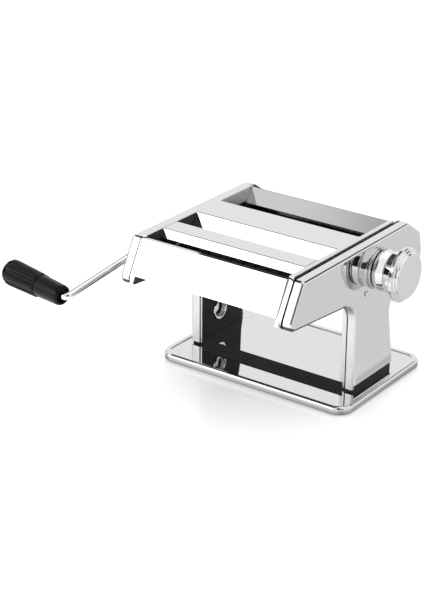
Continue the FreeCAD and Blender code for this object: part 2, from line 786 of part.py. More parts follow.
def build_knob():
    """Setting knob: bearing collar, shaft, ringed hub and stepped end disc."""
    collar = turned("collar_tube", [(88.9, 6.05), (88.9, 11), (90.8, 11), (90.8, 9), (98, 9),
                                    (98, 6.05)], "knob_back", "smooth_level")
    node("knob_collar", collar)
    shaft = turned("knob_axle", [(84.2, 0), (84.2, 4), (88.6, 4), (88.6, 6), (113, 6), (113, 0)],
                   "knob_back", "smooth_level")
    node("knob_shaft", shaft)
    hub = turned("hub", [(92.6, 10.4), (92.6, 19.2), (93.2, 19.9), (96.6, 19.9), (97.1, 19.4),
                         (97.1, 18.2), (98.3, 18.2), (98.3, 19.4), (98.9, 20), (110.4, 20),
                         (111, 19.4), (111, 17.8), (113, 17.8), (113, 6), (103, 6), (103, 10.4)],
                 "knob_back", "smooth_level")
    node("knob_hub", hub)
    disc = turned("disc", [(113, 0), (113, 24.3), (113.9, 25.5), (116.7, 25.5), (117.6, 24.6),
                           (117.6, 23.6), (118.6, 23.6), (119.6, 22.8), (119.6, 21.8),
                           (120.8, 21.8), (121.9, 20.6), (121.9, 0)], "knob_back", "smooth_level")
    node("knob_disc", disc)
    mark = doc.addObject("Part::Wedge", "index_mark")
    mark.Xmin = 0
    mark.Xmax = 5
    mark.X2min = 2.2
    mark.X2max = 2.8
    mark.Ymin = 0
    mark.Ymax = 7
    mark.Zmin = 0
    mark.Zmax = 0.4
    mark.Z2min = 0
    mark.Z2max = 0.4
    turn = Rotation(Vector(1, 0, 0), -60).multiply(Rotation(Vector(1, 1, 1), 120))
    mark.Placement = Placement(Vector(92, -25.5, 103.5), turn)
    node("index_mark", mark)


# ---------------------------------------------------------------- crank

def crank_placement():
    """Frame of the crank: origin on its shaft, -Y along the arm."""
    back = value("wide_middle") + value("cutter_spacing") / 2
    return Placement(Vector(0, back, value("wide_level")),
                     Rotation(Vector(1, 0, 0), value("crank_drop")))


def bend_path(sketch, points, radii):
    """Open path of straight runs with a rounded bend at each inner point."""
    previous = Vector(points[0][0], points[0][1], 0)
    for index in range(1, len(points) - 1):
        point = Vector(points[index][0], points[index][1], 0)
        radius = radii[index - 1]
        ahead = unit(Vector(points[index + 1][0], points[index + 1][1], 0) - point)
        back = unit(previous - point)
        half = back.getAngle(ahead) / 2
        reach = radius / math.tan(half)
        bisector = unit(back + ahead)
        centre = point + bisector * (radius / math.sin(half))
        entry = point + back * reach
        leave = point + ahead * reach
        sketch.addGeometry(Part.LineSegment(previous, entry), False)
        sketch.addGeometry(Part.Arc(entry, centre - bisector * radius, leave), False)
        previous = leave
    last = Vector(points[-1][0], points[-1][1], 0)
    sketch.addGeometry(Part.LineSegment(previous, last), False)


def crank_points():
    """Run of the crank rod in its own plane, and the direction of the grip."""
    lean = math.radians(value("crank_lean"))
    reach = -value("crank_reach")
    arm = value("crank_arm")
    corner = (reach - arm * math.sin(lean), -arm * math.cos(lean))
    along = (-math.cos(lean), math.sin(lean))
    return (reach, 0.0), corner, along


def build_crank():
    """Bent rod, its clip and the grip that spins on it."""
    start = -72.0
    bend, corner, along = crank_points()
    length = 64.0
    tail = (corner[0] + along[0] * length, corner[1] + along[1] * length)
    body = doc.addObject("PartDesign::Body", "crank_body")
    spine = sketch_on(body, "crank_run", "XY_Plane", 0)
    bend_path(spine, [(start, 0.0), bend, corner, tail], (8.0, 5.0))
    section = sketch_on(body, "crank_section", "YZ_Plane", start)
    section.addGeometry(Part.Circle(Vector(0, 0, 0), Vector(0, 0, 1), value("rod_radius")), False)
    sweep = body.newObject("PartDesign::AdditivePipe", "crank_sweep")
    sweep.Profile = section
    sweep.Spine = (spine, [])
    body.Tip = sweep
    body.Placement = crank_placement()
    node("crank_rod", body)

    lean = math.degrees(math.atan2(along[1], along[0]))
    local = Placement(Vector(corner[0], corner[1], 0), Rotation(Vector(0, 0, 1), lean))
    grip_frame = crank_placement().multiply(local)
    handle = turned("grip_blank", [(4.0, 6.8), (4.3, 8.2), (5.4, 9.3), (7.5, 9.7), (40.0, 11.0),
                                   (70.0, 12.3), (74.5, 12.1), (77.5, 10.4), (79.2, 7.0),
                                   (79.6, 0), (66.0, 0), (66.0, 3.6), (61.8, 3.6),
                                   (61.8, 6.6), (59.6, 6.6), (59.6, 3.6), (10.0, 3.6),
                                   (8.5, 6.6)], 0, 0)
    handle.setExpression("Placement.Base.y", None)
    handle.setExpression("Placement.Base.z", None)
    handle.Placement = grip_frame
    flutes = []
    flute_count = 7
    for index in range(flute_count):
        flute = doc.addObject("Part::Cylinder", "grip_flute")
        flute.Radius = 3.2
        flute.Height = 60
        tilt = Rotation(Vector(0, 1, 0), 90 - 2.6)
        seat = Placement(Vector(34, 0, 13.5), tilt)
        spin = Placement(Vector(0, 0, 0), Rotation(Vector(1, 0, 0), 360.0 * index / flute_count))
        flute.Placement = grip_frame.multiply(spin).multiply(seat)
        flutes.append(flute)
    node("crank_grip", cut("crank_grip", handle, flutes))
    clip = turned("clip", [(60.1, 3.5), (60.1, 6), (61.3, 6), (61.3, 3.5)], 0, 0)
    clip.setExpression("Placement.Base.y", None)
    clip.setExpression("Placement.Base.z", None)
    clip.Placement = grip_frame
    node("grip_clip", clip)


# ---------------------------------------------------------------- assembly

build_base()
for side, word in ((-1, "left"), (1, "right")):
    build_frame(side, "side_frame_" + word)
    build_cover(side, "side_cover_" + word)
    build_standoffs(side, "standoffs_" + word)
    build_bushes(side, "bushes_" + word)
    build_guides(side, "guides_" + word)
    build_liner(side, "leg_liner_" + word)
build_clamp_collar()
build_apron()
build_divider()
build_top_cover()
build_rear_sheets()
build_ties()
build_scrapers()
WIDE_PITCH = 13.0
NARROW_PITCH = 4.0
build_comb("comb_wide_front", WIDE_PITCH, WIDE_PITCH / 2, value("wide_middle"),
           value("wide_level"), -1)
build_comb("comb_wide_rear", WIDE_PITCH, 0, value("wide_middle"), value("wide_level"), 1)
build_comb("comb_narrow_front", NARROW_PITCH, NARROW_PITCH / 2, value("narrow_middle"),
           value("narrow_level"), -1)
build_comb("comb_narrow_rear", NARROW_PITCH, 0, value("narrow_middle"), value("narrow_level"), 1)
build_smooth_rollers()
build_cutters("wide", WIDE_PITCH)
build_cutters("narrow", NARROW_PITCH)
build_gears()
build_carriage()
build_cam()
build_knob()
build_crank()
doc.recompute()

# ---------------------------------------------------------------- checks and export

for item in doc.Objects:
    if "Invalid" in item.State or "Error" in item.State:
        raise RuntimeError("%s failed: %s" % (item.Name, item.State))
os.makedirs("parts", exist_ok=True)
for label, item in nodes:
    shape = item.Shape
    if shape.isNull() or not shape.isValid():
        raise RuntimeError("%s has no valid shape" % label)
    shape.exportStep("parts/%s.step" % label)
print("%d sub-parts written" % len(nodes))
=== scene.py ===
"""Looks of a hand-cranked pasta roller machine, built round its packed assembly."""

from __future__ import annotations

import json
import logging
import math
from collections.abc import Callable
from dataclasses import dataclass
from enum import Enum

import bmesh
import bpy
from bpy.types import Material, Mesh, Node, NodeSocket, NodeTree, Object
from mathutils import Matrix, Vector


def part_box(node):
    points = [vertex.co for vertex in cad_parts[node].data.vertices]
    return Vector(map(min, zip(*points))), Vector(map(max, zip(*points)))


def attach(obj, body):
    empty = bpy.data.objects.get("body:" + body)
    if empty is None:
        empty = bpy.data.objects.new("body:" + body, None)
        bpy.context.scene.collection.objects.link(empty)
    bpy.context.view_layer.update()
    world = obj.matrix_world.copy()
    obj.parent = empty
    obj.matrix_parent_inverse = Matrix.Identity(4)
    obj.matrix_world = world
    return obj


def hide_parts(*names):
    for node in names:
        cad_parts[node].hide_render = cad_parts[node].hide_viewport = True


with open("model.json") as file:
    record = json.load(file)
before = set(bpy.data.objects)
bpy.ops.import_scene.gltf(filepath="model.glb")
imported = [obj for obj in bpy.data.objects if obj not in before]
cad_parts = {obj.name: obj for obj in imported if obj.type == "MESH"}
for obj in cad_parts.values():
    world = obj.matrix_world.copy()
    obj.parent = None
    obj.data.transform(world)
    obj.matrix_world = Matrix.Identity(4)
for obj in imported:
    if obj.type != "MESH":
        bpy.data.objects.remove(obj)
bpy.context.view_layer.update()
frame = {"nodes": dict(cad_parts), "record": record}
NODES = frame["nodes"]
BODY_OF = {name: body for body, names in frame["record"]["behaviour"]["bodies"].items() for name in names}
SLOT_OF = {part["node"]: part["material_slot"] for part in frame["record"]["subparts"]}
MM = 0.001
VECTOR, NOISE = "ShaderNodeVectorMath", "ShaderNodeTexNoise"
WHITE = (1, 1, 1, 1)
# How far a face's normal leans along an axis, out of one.
HARDLY, SLIGHTLY, PARTLY, HALF, MOSTLY, NEARLY, FULLY = 0.1, 0.25, 0.3, 0.5, 0.7, 0.9, 0.95
# Edges that turn by less than this are shaded smooth, and points closer than this are one.
SOFT_TURN, SAME_POINT = math.radians(32), 0.002 * MM
# A node's inputs by name or number, or its first ones in order.
Inputs = dict | tuple
LOG = logging.getLogger("pasta_machine")


class Pattern(Enum):
    """Surface pattern that a metal finish carries."""

    SHEET = "long soft waves of rolled sheet"
    STREAKS = "straight rolling streaks"
    RINGS = "fine rings left by a lathe round the X axis"


# ---------------- small helpers


def linear(code: str) -> tuple[float, float, float, float]:
    """Turn an sRGB hex colour into linear light.

    Args:
        code: colour such as "#1a2b3c".

    Returns:
        Red, green, blue and an alpha of one.
    """
    parts = [int(code[start : start + 2], 16) / 255 for start in (1, 3, 5)]
    light = [part / 12.92 if part <= 0.04045 else ((part + 0.055) / 1.055) ** 2.4 for part in parts]
    return (*light, 1.0)


def add(tree: NodeTree, kind: str, inputs: Inputs = (), **settings: object) -> Node:
    """Add one node with its settings, values and links.

    Args:
        tree: tree that takes the node.
        kind: type name of the node.
        inputs: value, output socket or list of sockets for each input.
        settings: attributes of the node.

    Returns:
        The new node.
    """
    made = tree.nodes.new(kind)
    for name, value in settings.items():
        setattr(made, name, value)
    for key, value in inputs.items() if isinstance(inputs, dict) else enumerate(inputs):
        for one in value if isinstance(value, list) else [value]:
            if isinstance(one, NodeSocket):
                tree.links.new(one, made.inputs[key])
            else:
                made.inputs[key].default_value = one
    return made


def surface(name: str) -> tuple[Material, NodeTree, Node]:
    """Make an empty material with a Principled shader.

    Args:
        name: name of the finish.

    Returns:
        The material, its tree and its shader node.
    """
    material = bpy.data.materials.new(name)
    material.use_nodes = True
    tree = material.node_tree
    tree.nodes.clear()
    shader = add(tree, "ShaderNodeBsdfPrincipled")
    add(tree, "ShaderNodeOutputMaterial", {"Surface": shader.outputs["BSDF"]})
    return material, tree, shader


def emboss(tree: NodeTree, shader: Node, height: NodeSocket, relief: float) -> None:
    """Raise a pattern on a finish.

    Args:
        tree: material tree.
        shader: shader that takes it.
        height: pattern from zero to one.
        relief: its height in millimetres.
    """
    bump = add(tree, "ShaderNodeBump", {"Height": height, "Distance": relief * MM, "Strength": 1.0})
    tree.links.new(bump.outputs["Normal"], shader.inputs["Normal"])


def between(
    tree: NodeTree, value: NodeSocket, span: tuple[float, float],
    result: tuple[float, float], **settings: object,
) -> NodeSocket:
    """Map one span of values to another.

    Args:
        tree: material tree.
        value: value to map.
        span: its two ends.
        result: what each end becomes.
        settings: attributes of the node.

    Returns:
        The mapped value.
    """
    return add(tree, "ShaderNodeMapRange", (value, *span, *result), **settings).outputs["Result"]


# ---------------- finishes


@dataclass(frozen=True)
class Metal:
    """A bare or plated metal.

    Attributes:
        name: what the finish is.
        shade: colour of its reflection.
        rough: roughness where it is cleanest.
        wear: how much rougher it gets in handled patches.
        pattern: marks left by the way it was made.
        spacing: distance between those marks in millimetres.
        relief: height of those marks in millimetres.
        axis: point in millimetres that lathe rings run round.
    """

    name: str
    shade: str
    rough: float
    wear: float
    pattern: Pattern
    spacing: float
    relief: float
    axis: tuple[float, float, float] = (0.0, 0.0, 0.0)

    def make(self) -> Material:
        """Build the material.

        Returns:
            The finished material.
        """
        material, tree, shader = surface(self.name)
        place = add(tree, "ShaderNodeTexCoord").outputs["Object"]
        shader.inputs["Base Color"].default_value = linear(self.shade)
        shader.inputs["Metallic"].default_value = 1.0
        handled = add(tree, NOISE, {"Vector": place, "Scale": 1 / (34 * MM), "Detail": 4.0, "Roughness": 0.6})
        rough = between(tree, handled.outputs["Fac"], (0.42, 0.72), (self.rough, self.rough + self.wear))
        tree.links.new(rough, shader.inputs["Roughness"])
        emboss(tree, shader, self.marks(tree, place), self.relief)
        return material

    def marks(self, tree: NodeTree, place: NodeSocket) -> NodeSocket:
        """Draw the height of the making marks.

        Args:
            tree: material tree.
            place: position on the piece in metres.

        Returns:
            Height output from zero to one.
        """
        density = 1 / (self.spacing * MM)
        if self.pattern is Pattern.SHEET:
            return add(tree, NOISE, {"Vector": place, "Scale": density, "Detail": 1.0}).outputs["Fac"]
        if self.pattern is Pattern.STREAKS:
            size = (density * 0.02, density, density)
            stretch = add(tree, "ShaderNodeMapping", {"Vector": place, "Scale": size}).outputs["Vector"]
            return add(tree, NOISE, {"Vector": stretch, "Scale": 1.0, "Detail": 3.0}).outputs["Fac"]
        middle = tuple(value * MM for value in self.axis)
        centred = add(tree, VECTOR, (place, middle), operation="SUBTRACT").outputs["Vector"]
        flat = add(tree, VECTOR, (centred, (0.0, 1.0, 1.0)), operation="MULTIPLY").outputs["Vector"]
        radius = add(tree, VECTOR, (flat,), operation="LENGTH").outputs["Value"]
        along = add(tree, "ShaderNodeSeparateXYZ", (centred,)).outputs["X"]
        path = add(tree, "ShaderNodeMath", (radius, along), operation="ADD").outputs["Value"]
        rings = add(tree, NOISE, {"W": path, "Scale": density, "Detail": 2.0}, noise_dimensions="1D")
        return rings.outputs["Fac"]


@dataclass(frozen=True)
class Moulded:
    """A moulded plastic or rubber.

    Attributes:
        name: what the finish is.
        shade: base colour.
        worn: colour of the slightly paler handled patches.
        rough: roughness of the skin.
        grain: size of the mould texture in millimetres.
        relief: height of the mould texture in millimetres.
        ior: refractive index of the plastic.
        gloss: strength of its sheen, where a half is a full plastic gloss.
    """

    name: str
    shade: str
    worn: str
    rough: float
    grain: float
    relief: float
    ior: float = 1.5
    gloss: float = 0.5

    def make(self) -> Material:
        """Build the material.

        Returns:
            The finished material.
        """
        material, tree, shader = surface(self.name)
        place = add(tree, "ShaderNodeTexCoord").outputs["Object"]
        shader.inputs["IOR"].default_value = self.ior
        shader.inputs["Specular IOR Level"].default_value = self.gloss
        patches = add(tree, NOISE, {"Vector": place, "Scale": 1 / (18 * MM), "Detail": 3.0}).outputs["Fac"]
        colours = {0: patches, 6: linear(self.shade), 7: linear(self.worn)}
        tint = add(tree, "ShaderNodeMix", colours, data_type="RGBA")
        tree.links.new(tint.outputs[2], shader.inputs["Base Color"])
        rough = between(tree, patches, (0.3, 0.7), (self.rough, self.rough + 0.1))
        tree.links.new(rough, shader.inputs["Roughness"])
        cells = {"Vector": place, "Scale": 1 / (self.grain * MM)}
        grain = add(tree, "ShaderNodeTexVoronoi", cells, feature="SMOOTH_F1")
        emboss(tree, shader, grain.outputs["Distance"], self.relief)
        return material


@dataclass(frozen=True)
class Finishes:
    """Every finish of the machine, made once."""

    polished: Material
    satin: Material
    seam: Material
    base_mirror: Material
    knob_chrome: Material
    knob_face: Material
    rod_chrome: Material
    roller: Material
    zinc: Material
    grip_black: Material
    liner_black: Material
    slot_black: Material
    nylon: Material
    rubber: Material
    ink: Material

    @classmethod
    def make(cls) -> Finishes:
        """Build all finishes.

        Returns:
            The set of materials.
        """
        return cls(
            # Cold-rolled stainless sheet, buffed: a clean mirror with very slow waves in it.
            polished=Metal("buffed_stainless_sheet", "#cfcfcf", 0.03, 0.02, Pattern.SHEET, 45, 0.02).make(),
            # The same sheet left unbuffed on folds, leg fronts and inner faces: satin, so it stays mid-grey.
            satin=Metal("satin_stainless_cheek", "#dedede", 0.5, 0.08, Pattern.STREAKS, 0.5, 0.003).make(),
            # Painted shade: rough dark grey steel laid on lips, undersides and inner faces of the sheet,
            # where shade falls, so that they draw a soft line.
            seam=Metal("sheared_stainless_edge", "#4c4c4c", 0.45, 0.1, Pattern.STREAKS, 0.3, 0.004).make(),
            # The same sheet pressed into the base, where cloths leave it a little duller.
            base_mirror=Metal("pressed_stainless_base", "#cfcfcf", 0.035, 0.03, Pattern.SHEET, 60,
                              0.02).make(),
            # Bright chrome over turned steel, deeper in its darks than the sheet.
            knob_chrome=Metal("turned_chrome_plate", "#dcdcdc", 0.035, 0.03, Pattern.RINGS, 0.8, 0.0006,
                              (0, 3, 118)).make(),
            # The pressed end of the knob, faced on a lathe: fine rings spread the light softly.
            knob_face=Metal("faced_chrome_plate", "#d6d6d6", 0.12, 0.05, Pattern.RINGS, 0.5, 0.001,
                            (0, 3, 118)).make(),
            # Drawn round bar with chrome on it, with faint lines along its run.
            rod_chrome=Metal("drawn_chromed_bar", "#dedede", 0.05, 0.03, Pattern.STREAKS, 0.6, 0.001).make(),
            # Ground roller steel with oil on it, coloured far darker than steel as painted shade in the
            # throat: rings 0.3 mm apart, drawn at 1 mm to show.
            roller=Metal("ground_roller_steel", "#3a3b3d", 0.22, 0.08, Pattern.RINGS, 1.0, 0.002,
                         (0, 32.5, 118)).make(),
            # Zinc-plated inner steel: greyer and softer than the covers, streaked by rolling.
            zinc=Metal("zinc_plated_steel", "#a9abb0", 0.3, 0.14, Pattern.STREAKS, 0.5, 0.004).make(),
            # Moulded ABS with a fine spark texture, which keeps its highlights broad and grey.
            grip_black=Moulded("moulded_black_abs", "#070707", "#0b0b0b", 0.22, 0.7, 0.003, 1.53,
                               0.13).make(),
            # Smooth black polypropylene facing, nearly lightless beside the steel; the same black is laid as
            # painted shade on the deck plate's edges, the apron's hem, the right lips and a band in the clamp
            # bore.
            liner_black=Moulded("black_polypropylene", "#0b0b0b", "#101010", 0.32, 0.9, 0.004, 1.49,
                                0.16).make(),
            # Moulded end cheeks in the cutter slots, coloured near black as painted shade deep in the slots,
            # and dulled by flour in paler patches.
            slot_black=Moulded("dusty_black_cheek", "#2b2b2c", "#3d3d3d", 0.42, 0.8, 0.01, 1.49, 0.3).make(),
            # Natural nylon: a warm off-white with a soft waxy gloss.
            nylon=Moulded("natural_nylon", "#d9d6cc", "#e4e1d8", 0.42, 0.9, 0.006, 1.53, 0.4).make(),
            # Rubber feet: matt, with a faint bloom.
            rubber=Moulded("foot_rubber", "#161616", "#262625", 0.78, 0.5, 0.02, 1.52, 0.25).make(),
            # Pad-printed ink: dark and slightly mottled where it lies thin.
            ink=Moulded("pad_printed_ink", "#232324", "#353536", 0.4, 0.3, 0.002, 1.5, 0.3).make(),
        )


# ---------------- meshes


def link(name: str, mesh: Mesh) -> Object:
    """Put a mesh in the scene as an object at the origin.

    Args:
        name: name of the object.
        mesh: its mesh.

    Returns:
        The object.
    """
    made = bpy.data.objects.new(name, mesh)
    bpy.context.scene.collection.objects.link(made)
    return made


def freeze(piece: Object) -> None:
    """Turn a piece's modifiers into plain mesh.

    Args:
        piece: object to change.
    """
    bpy.context.view_layer.update()
    evaluated = piece.evaluated_get(bpy.context.evaluated_depsgraph_get())
    mesh = bpy.data.meshes.new_from_object(evaluated)
    piece.modifiers.clear()
    piece.data = mesh
    mesh.name = piece.name


def tidy(mesh: Mesh, flat: float, outward: bool) -> None:
    """Merge doubled points, join flat faces and set smooth shading between soft edges.

    Args:
        mesh: mesh to change.
        flat: angle in degrees below which neighbouring faces are joined, or zero for none.
        outward: whether faces are turned outwards again.
    """
    work = bmesh.new()
    work.from_mesh(mesh)
    bmesh.ops.remove_doubles(work, verts=work.verts, dist=SAME_POINT)
    bmesh.ops.dissolve_degenerate(work, edges=work.edges, dist=SAME_POINT)
    if flat:
        bmesh.ops.dissolve_limit(work, angle_limit=math.radians(flat), verts=work.verts, edges=work.edges)
    if outward:
        bmesh.ops.recalc_face_normals(work, faces=work.faces)
    work.to_mesh(mesh)
    work.free()
    if "custom_normal" in mesh.attributes:
        mesh.attributes.remove(mesh.attributes["custom_normal"])
    mesh.shade_smooth()
    mesh.set_sharp_from_angle(angle=SOFT_TURN)


def flatten(piece: Object) -> None:
    """Keep the shading of large faces flat beside rounded edges, then freeze the piece.

    Args:
        piece: object to change.
    """
    weighted = piece.modifiers.new("flat_faces", "WEIGHTED_NORMAL")
    weighted.keep_sharp = True
    weighted.weight = 90
    freeze(piece)


def settle(piece: Object, body: str, slot: str, *nodes: str) -> Object:
    """Fix a finished piece to its body and let it stand for its CAD nodes.

    Args:
        piece: finished object.
        body: body that it moves with.
        slot: material slot of the record; not used.
        nodes: CAD nodes that it stands for.

    Returns:
        The piece.
    """
    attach(piece, body)
    if nodes:
        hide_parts(*nodes)
    LOG.info("%s: %d faces on %s", piece.name, len(piece.data.polygons), body)
    return piece


def sheet_piece(node: str, material: Material, edge: float) -> Object:
    """Copy a CAD node, round its cut edges and give it a finish.

    Args:
        node: name of the CAD node.
        material: its finish.
        edge: width of the rounded edges in millimetres.

    Returns:
        The new piece, standing for the node.
    """
    mesh = NODES[node].data.copy()
    mesh.materials.clear()
    mesh.materials.append(material)
    tidy(mesh, 0.4, False)
    piece = link(node + "_skin", mesh)
    bevel = piece.modifiers.new("edge", "BEVEL")
    bevel.width = edge * MM
    bevel.segments = 2
    bevel.limit_method = "ANGLE"
    bevel.angle_limit = SOFT_TURN
    bevel.use_clamp_overlap = True
    bevel.miter_outer = "MITER_ARC"
    flatten(piece)
    return settle(piece, BODY_OF[node], SLOT_OF[node], node)


def reface(
    piece: Object, material: Material, chosen: Callable[[Vector, Vector], bool]
) -> None:
    """Give some faces of a piece a finish of their own.

    Args:
        piece: object whose faces change.
        material: finish of the chosen faces.
        chosen: test on a face's middle in millimetres and on its normal.
    """
    piece.data.materials.append(material)
    place = len(piece.data.materials) - 1
    for face in piece.data.polygons:
        if chosen(face.center / MM, face.normal):
            face.material_index = place


# ---------------- geometry-node shapes


class Shape:
    """A geometry-node tree with named sizes.

    Attributes:
        tree: the node tree.
        size: its inputs, by name.
    """

    KINDS = {int: "NodeSocketInt", float: "NodeSocketFloat", tuple: "NodeSocketVector"}

    def __init__(self, name: str, sizes: dict[str, object]) -> None:
        """Start a tree.

        Args:
            name: name of the tree.
            sizes: default value of each named input.
        """
        self.tree = bpy.data.node_groups.new(name, "GeometryNodeTree")
        face = self.tree.interface
        face.new_socket("Geometry", in_out="OUTPUT", socket_type="NodeSocketGeometry")
        face.new_socket("Geometry", in_out="INPUT", socket_type="NodeSocketGeometry")
        for label, value in sizes.items():
            made = face.new_socket(label, in_out="INPUT", socket_type=self.KINDS[type(value)])
            made.default_value = value
        face.new_socket("Finish", in_out="INPUT", socket_type="NodeSocketMaterial")
        self.size = add(self.tree, "NodeGroupInput").outputs

    def put(self, kind: str, inputs: Inputs = (), **settings: object) -> NodeSocket:
        """Add a geometry or shader node to this tree, as add does, and give its first output."""
        full = kind if kind.startswith("Shader") else "GeometryNode" + kind
        return add(self.tree, full, inputs, **settings).outputs[0]

    def calc(self, kind: str, *values: object) -> NodeSocket:
        """Result of one sum on numbers or sockets."""
        return self.put("ShaderNodeMath", values, operation=kind)

    def row(
        self, piece: NodeSocket, count: object, first: Inputs, step: Inputs
    ) -> NodeSocket:
        """Repeat a piece along a straight line.

        Args:
            piece: the repeated mesh.
            count: how many there are.
            first: place of the first one, by axis.
            step: distance from one to the next, by axis.

        Returns:
            The row, as instances.
        """
        start = self.put("ShaderNodeCombineXYZ", first)
        stride = self.put("ShaderNodeCombineXYZ", step)
        places = self.put("MeshLine", {"Count": count, "Start Location": start, "Offset": stride})
        return self.put("InstanceOnPoints", {"Points": places, "Instance": piece})

    def close(self, geometry: NodeSocket) -> None:
        """End the tree with real meshes and the finish on them.

        Args:
            geometry: the shape to give out.
        """
        real = self.put("RealizeInstances", (geometry,))
        smooth = self.put("SetShadeSmooth", (real,))
        dressed = self.put("SetMaterial", {"Geometry": smooth, "Material": self.size["Finish"]})
        add(self.tree, "NodeGroupOutput", (dressed,))

    def grow(
        self,
        name: str,
        seed: Mesh,
        material: Material,
        place: Matrix | None = None,
        **sizes: object,
    ) -> Object:
        """Run the tree once and keep its plain mesh.

        Args:
            name: name of the piece.
            seed: mesh that the tree starts from.
            material: finish of the piece.
            place: where the piece goes.
            sizes: value of each named input, with spaces written as underscores.

        Returns:
            The finished object.
        """
        piece = link(name, seed)
        modifier = piece.modifiers.new("shape", "NODES")
        modifier.node_group = self.tree
        for item in self.tree.interface.items_tree:
            key = item.name.replace(" ", "_")
            if item.in_out == "INPUT" and key in sizes:
                modifier[item.identifier] = sizes[key]
            if item.in_out == "INPUT" and item.name == "Finish":
                modifier[item.identifier] = material
        freeze(piece)
        piece.data.transform(place or Matrix.Identity(4))
        tidy(piece.data, 0.0, True)
        flatten(piece)
        return piece


def line_mesh(points: list[tuple[float, float]]) -> Mesh:
    """Mesh of one open run of edges in the XY plane.

    Args:
        points: corners in millimetres.

    Returns:
        The mesh, in metres.
    """
    mesh = bpy.data.meshes.new("run")
    places = [(x * MM, y * MM, 0.0) for x, y in points]
    mesh.from_pydata(places, [(index, index + 1) for index in range(len(points) - 1)], [])
    return mesh


def point_mesh(points: list[tuple[float, float, float]]) -> Mesh:
    """Mesh of loose points.

    Args:
        points: places in millimetres.

    Returns:
        The mesh, in metres.
    """
    mesh = bpy.data.meshes.new("places")
    mesh.from_pydata([tuple(value * MM for value in point) for point in points], [], [])
    return mesh


class TurnedShape(Shape):
    """Body turned round its X axis from a (radius, along) run, with optional flutes along it."""

    def __init__(self) -> None:
        """Build the tree."""
        super().__init__(
            "turned_body",
            {
                "Segments": 96, "Edge Round": 0.0003, "Rings": 0, "Flutes": 0.0, "Flute Depth": 0.0,
                "Flute Width": 0.2, "Flute Start": 0.0, "Flute End": 1.0, "Run Out": 0.002,
            },
        )
        size, put, calc = self.size, self.put, self.calc
        run = put("MeshToCurve", (size["Geometry"],))
        soft = put(
            "FilletCurve",
            {"Curve": run, "Radius": size["Edge Round"], "Count": 3, "Limit Radius": True}, mode="POLY",
        )
        fine = put("SubdivideCurve", {"Curve": soft, "Cuts": size["Rings"]})
        rail = put("CurvePrimitiveCircle", {"Resolution": size["Segments"], "Radius": 1e-6})
        skin = put("CurveToMesh", {"Curve": rail, "Profile Curve": fine})
        place = put("InputPosition")
        split = put("ShaderNodeSeparateXYZ", (place,)).node.outputs
        # A flute's depth falls with the square of the angle from its middle.
        turn = calc("ARCTAN2", split["Y"], split["X"])
        turns = calc("MULTIPLY", turn, size["Flutes"])
        wave = calc("PINGPONG", turns, math.pi)
        width = calc("MULTIPLY", size["Flute Width"], size["Flutes"])
        gap = calc("DIVIDE", wave, width)
        square = calc("MULTIPLY", gap, gap)
        bowl = calc("SUBTRACT", 1.0, square)
        scoop = calc("MAXIMUM", bowl, 0.0)
        # It runs out to nothing at both of its ends.
        along = calc("ABSOLUTE", split["Z"])
        begun = calc("SUBTRACT", along, size["Flute Start"])
        left = calc("SUBTRACT", size["Flute End"], along)
        starts = calc("DIVIDE", begun, size["Run Out"])
        ends = calc("DIVIDE", left, size["Run Out"])
        reach = put("ShaderNodeClamp", {0: calc("MINIMUM", starts, ends)})
        cut = calc("MULTIPLY", scoop, reach)
        depth = calc("MULTIPLY", cut, size["Flute Depth"])
        back = calc("MULTIPLY", depth, -1.0)
        radius = put(VECTOR, (place, (1.0, 1.0, 0.0)), operation="MULTIPLY")
        outward = put(VECTOR, (radius,), operation="NORMALIZE")
        shift = put(VECTOR, {0: outward, "Scale": back}, operation="SCALE")
        fluted = put("SetPosition", {"Geometry": skin, "Offset": shift})
        self.close(put("Transform", {"Geometry": fluted, "Rotation": (0.0, -math.pi / 2, 0.0)}))


class BentRodShape(Shape):
    """Round bar along an open run with its own radius at each of two bends."""

    def __init__(self) -> None:
        """Build the tree."""
        super().__init__("bent_rod", {"Rod Radius": 0.0035, "First Bend": 0.008, "Second Bend": 0.005})
        size, put, calc = self.size, self.put, self.calc
        run = put("MeshToCurve", (size["Geometry"],))
        later = calc("GREATER_THAN", put("InputIndex"), 1.5)
        change = calc("SUBTRACT", size["Second Bend"], size["First Bend"])
        extra = calc("MULTIPLY", later, change)
        radius = calc("ADD", size["First Bend"], extra)
        bent = put("FilletCurve", {"Curve": run, "Radius": radius, "Count": 12}, mode="POLY")
        ring = put("CurvePrimitiveCircle", {"Resolution": 32, "Radius": size["Rod Radius"]})
        self.close(put("CurveToMesh", {"Curve": bent, "Profile Curve": ring, "Fill Caps": True}))


class DiscRowShape(Shape):
    """Row of equal cutting discs along the X axis."""

    def __init__(self) -> None:
        """Build the tree."""
        super().__init__(
            "disc_row",
            {
                "Discs": 10, "Pitch": 0.013, "First": 0.0, "Core": 0.009, "Rim": 0.0115, "Width": 0.003,
                "Lip": 0.0001,
            },
        )
        size, put, calc = self.size, self.put, self.calc
        tall = calc("SUBTRACT", size["Rim"], size["Core"])
        across = calc("ADD", size["Rim"], size["Core"])
        middle = calc("MULTIPLY", across, 0.5)
        rail = put("CurvePrimitiveCircle", {"Resolution": 48, "Radius": middle})
        box = put("CurvePrimitiveQuadrilateral", {"Width": tall, "Height": size["Width"]})
        soft = put(
            "FilletCurve",
            {"Curve": box, "Radius": size["Lip"], "Count": 1, "Limit Radius": True}, mode="POLY",
        )
        disc = put("CurveToMesh", {"Curve": rail, "Profile Curve": soft})
        row = self.row(disc, size["Discs"], {"Z": size["First"]}, {"Z": size["Pitch"]})
        self.close(put("Transform", {"Geometry": row, "Rotation": (0.0, math.pi / 2, 0.0)}))


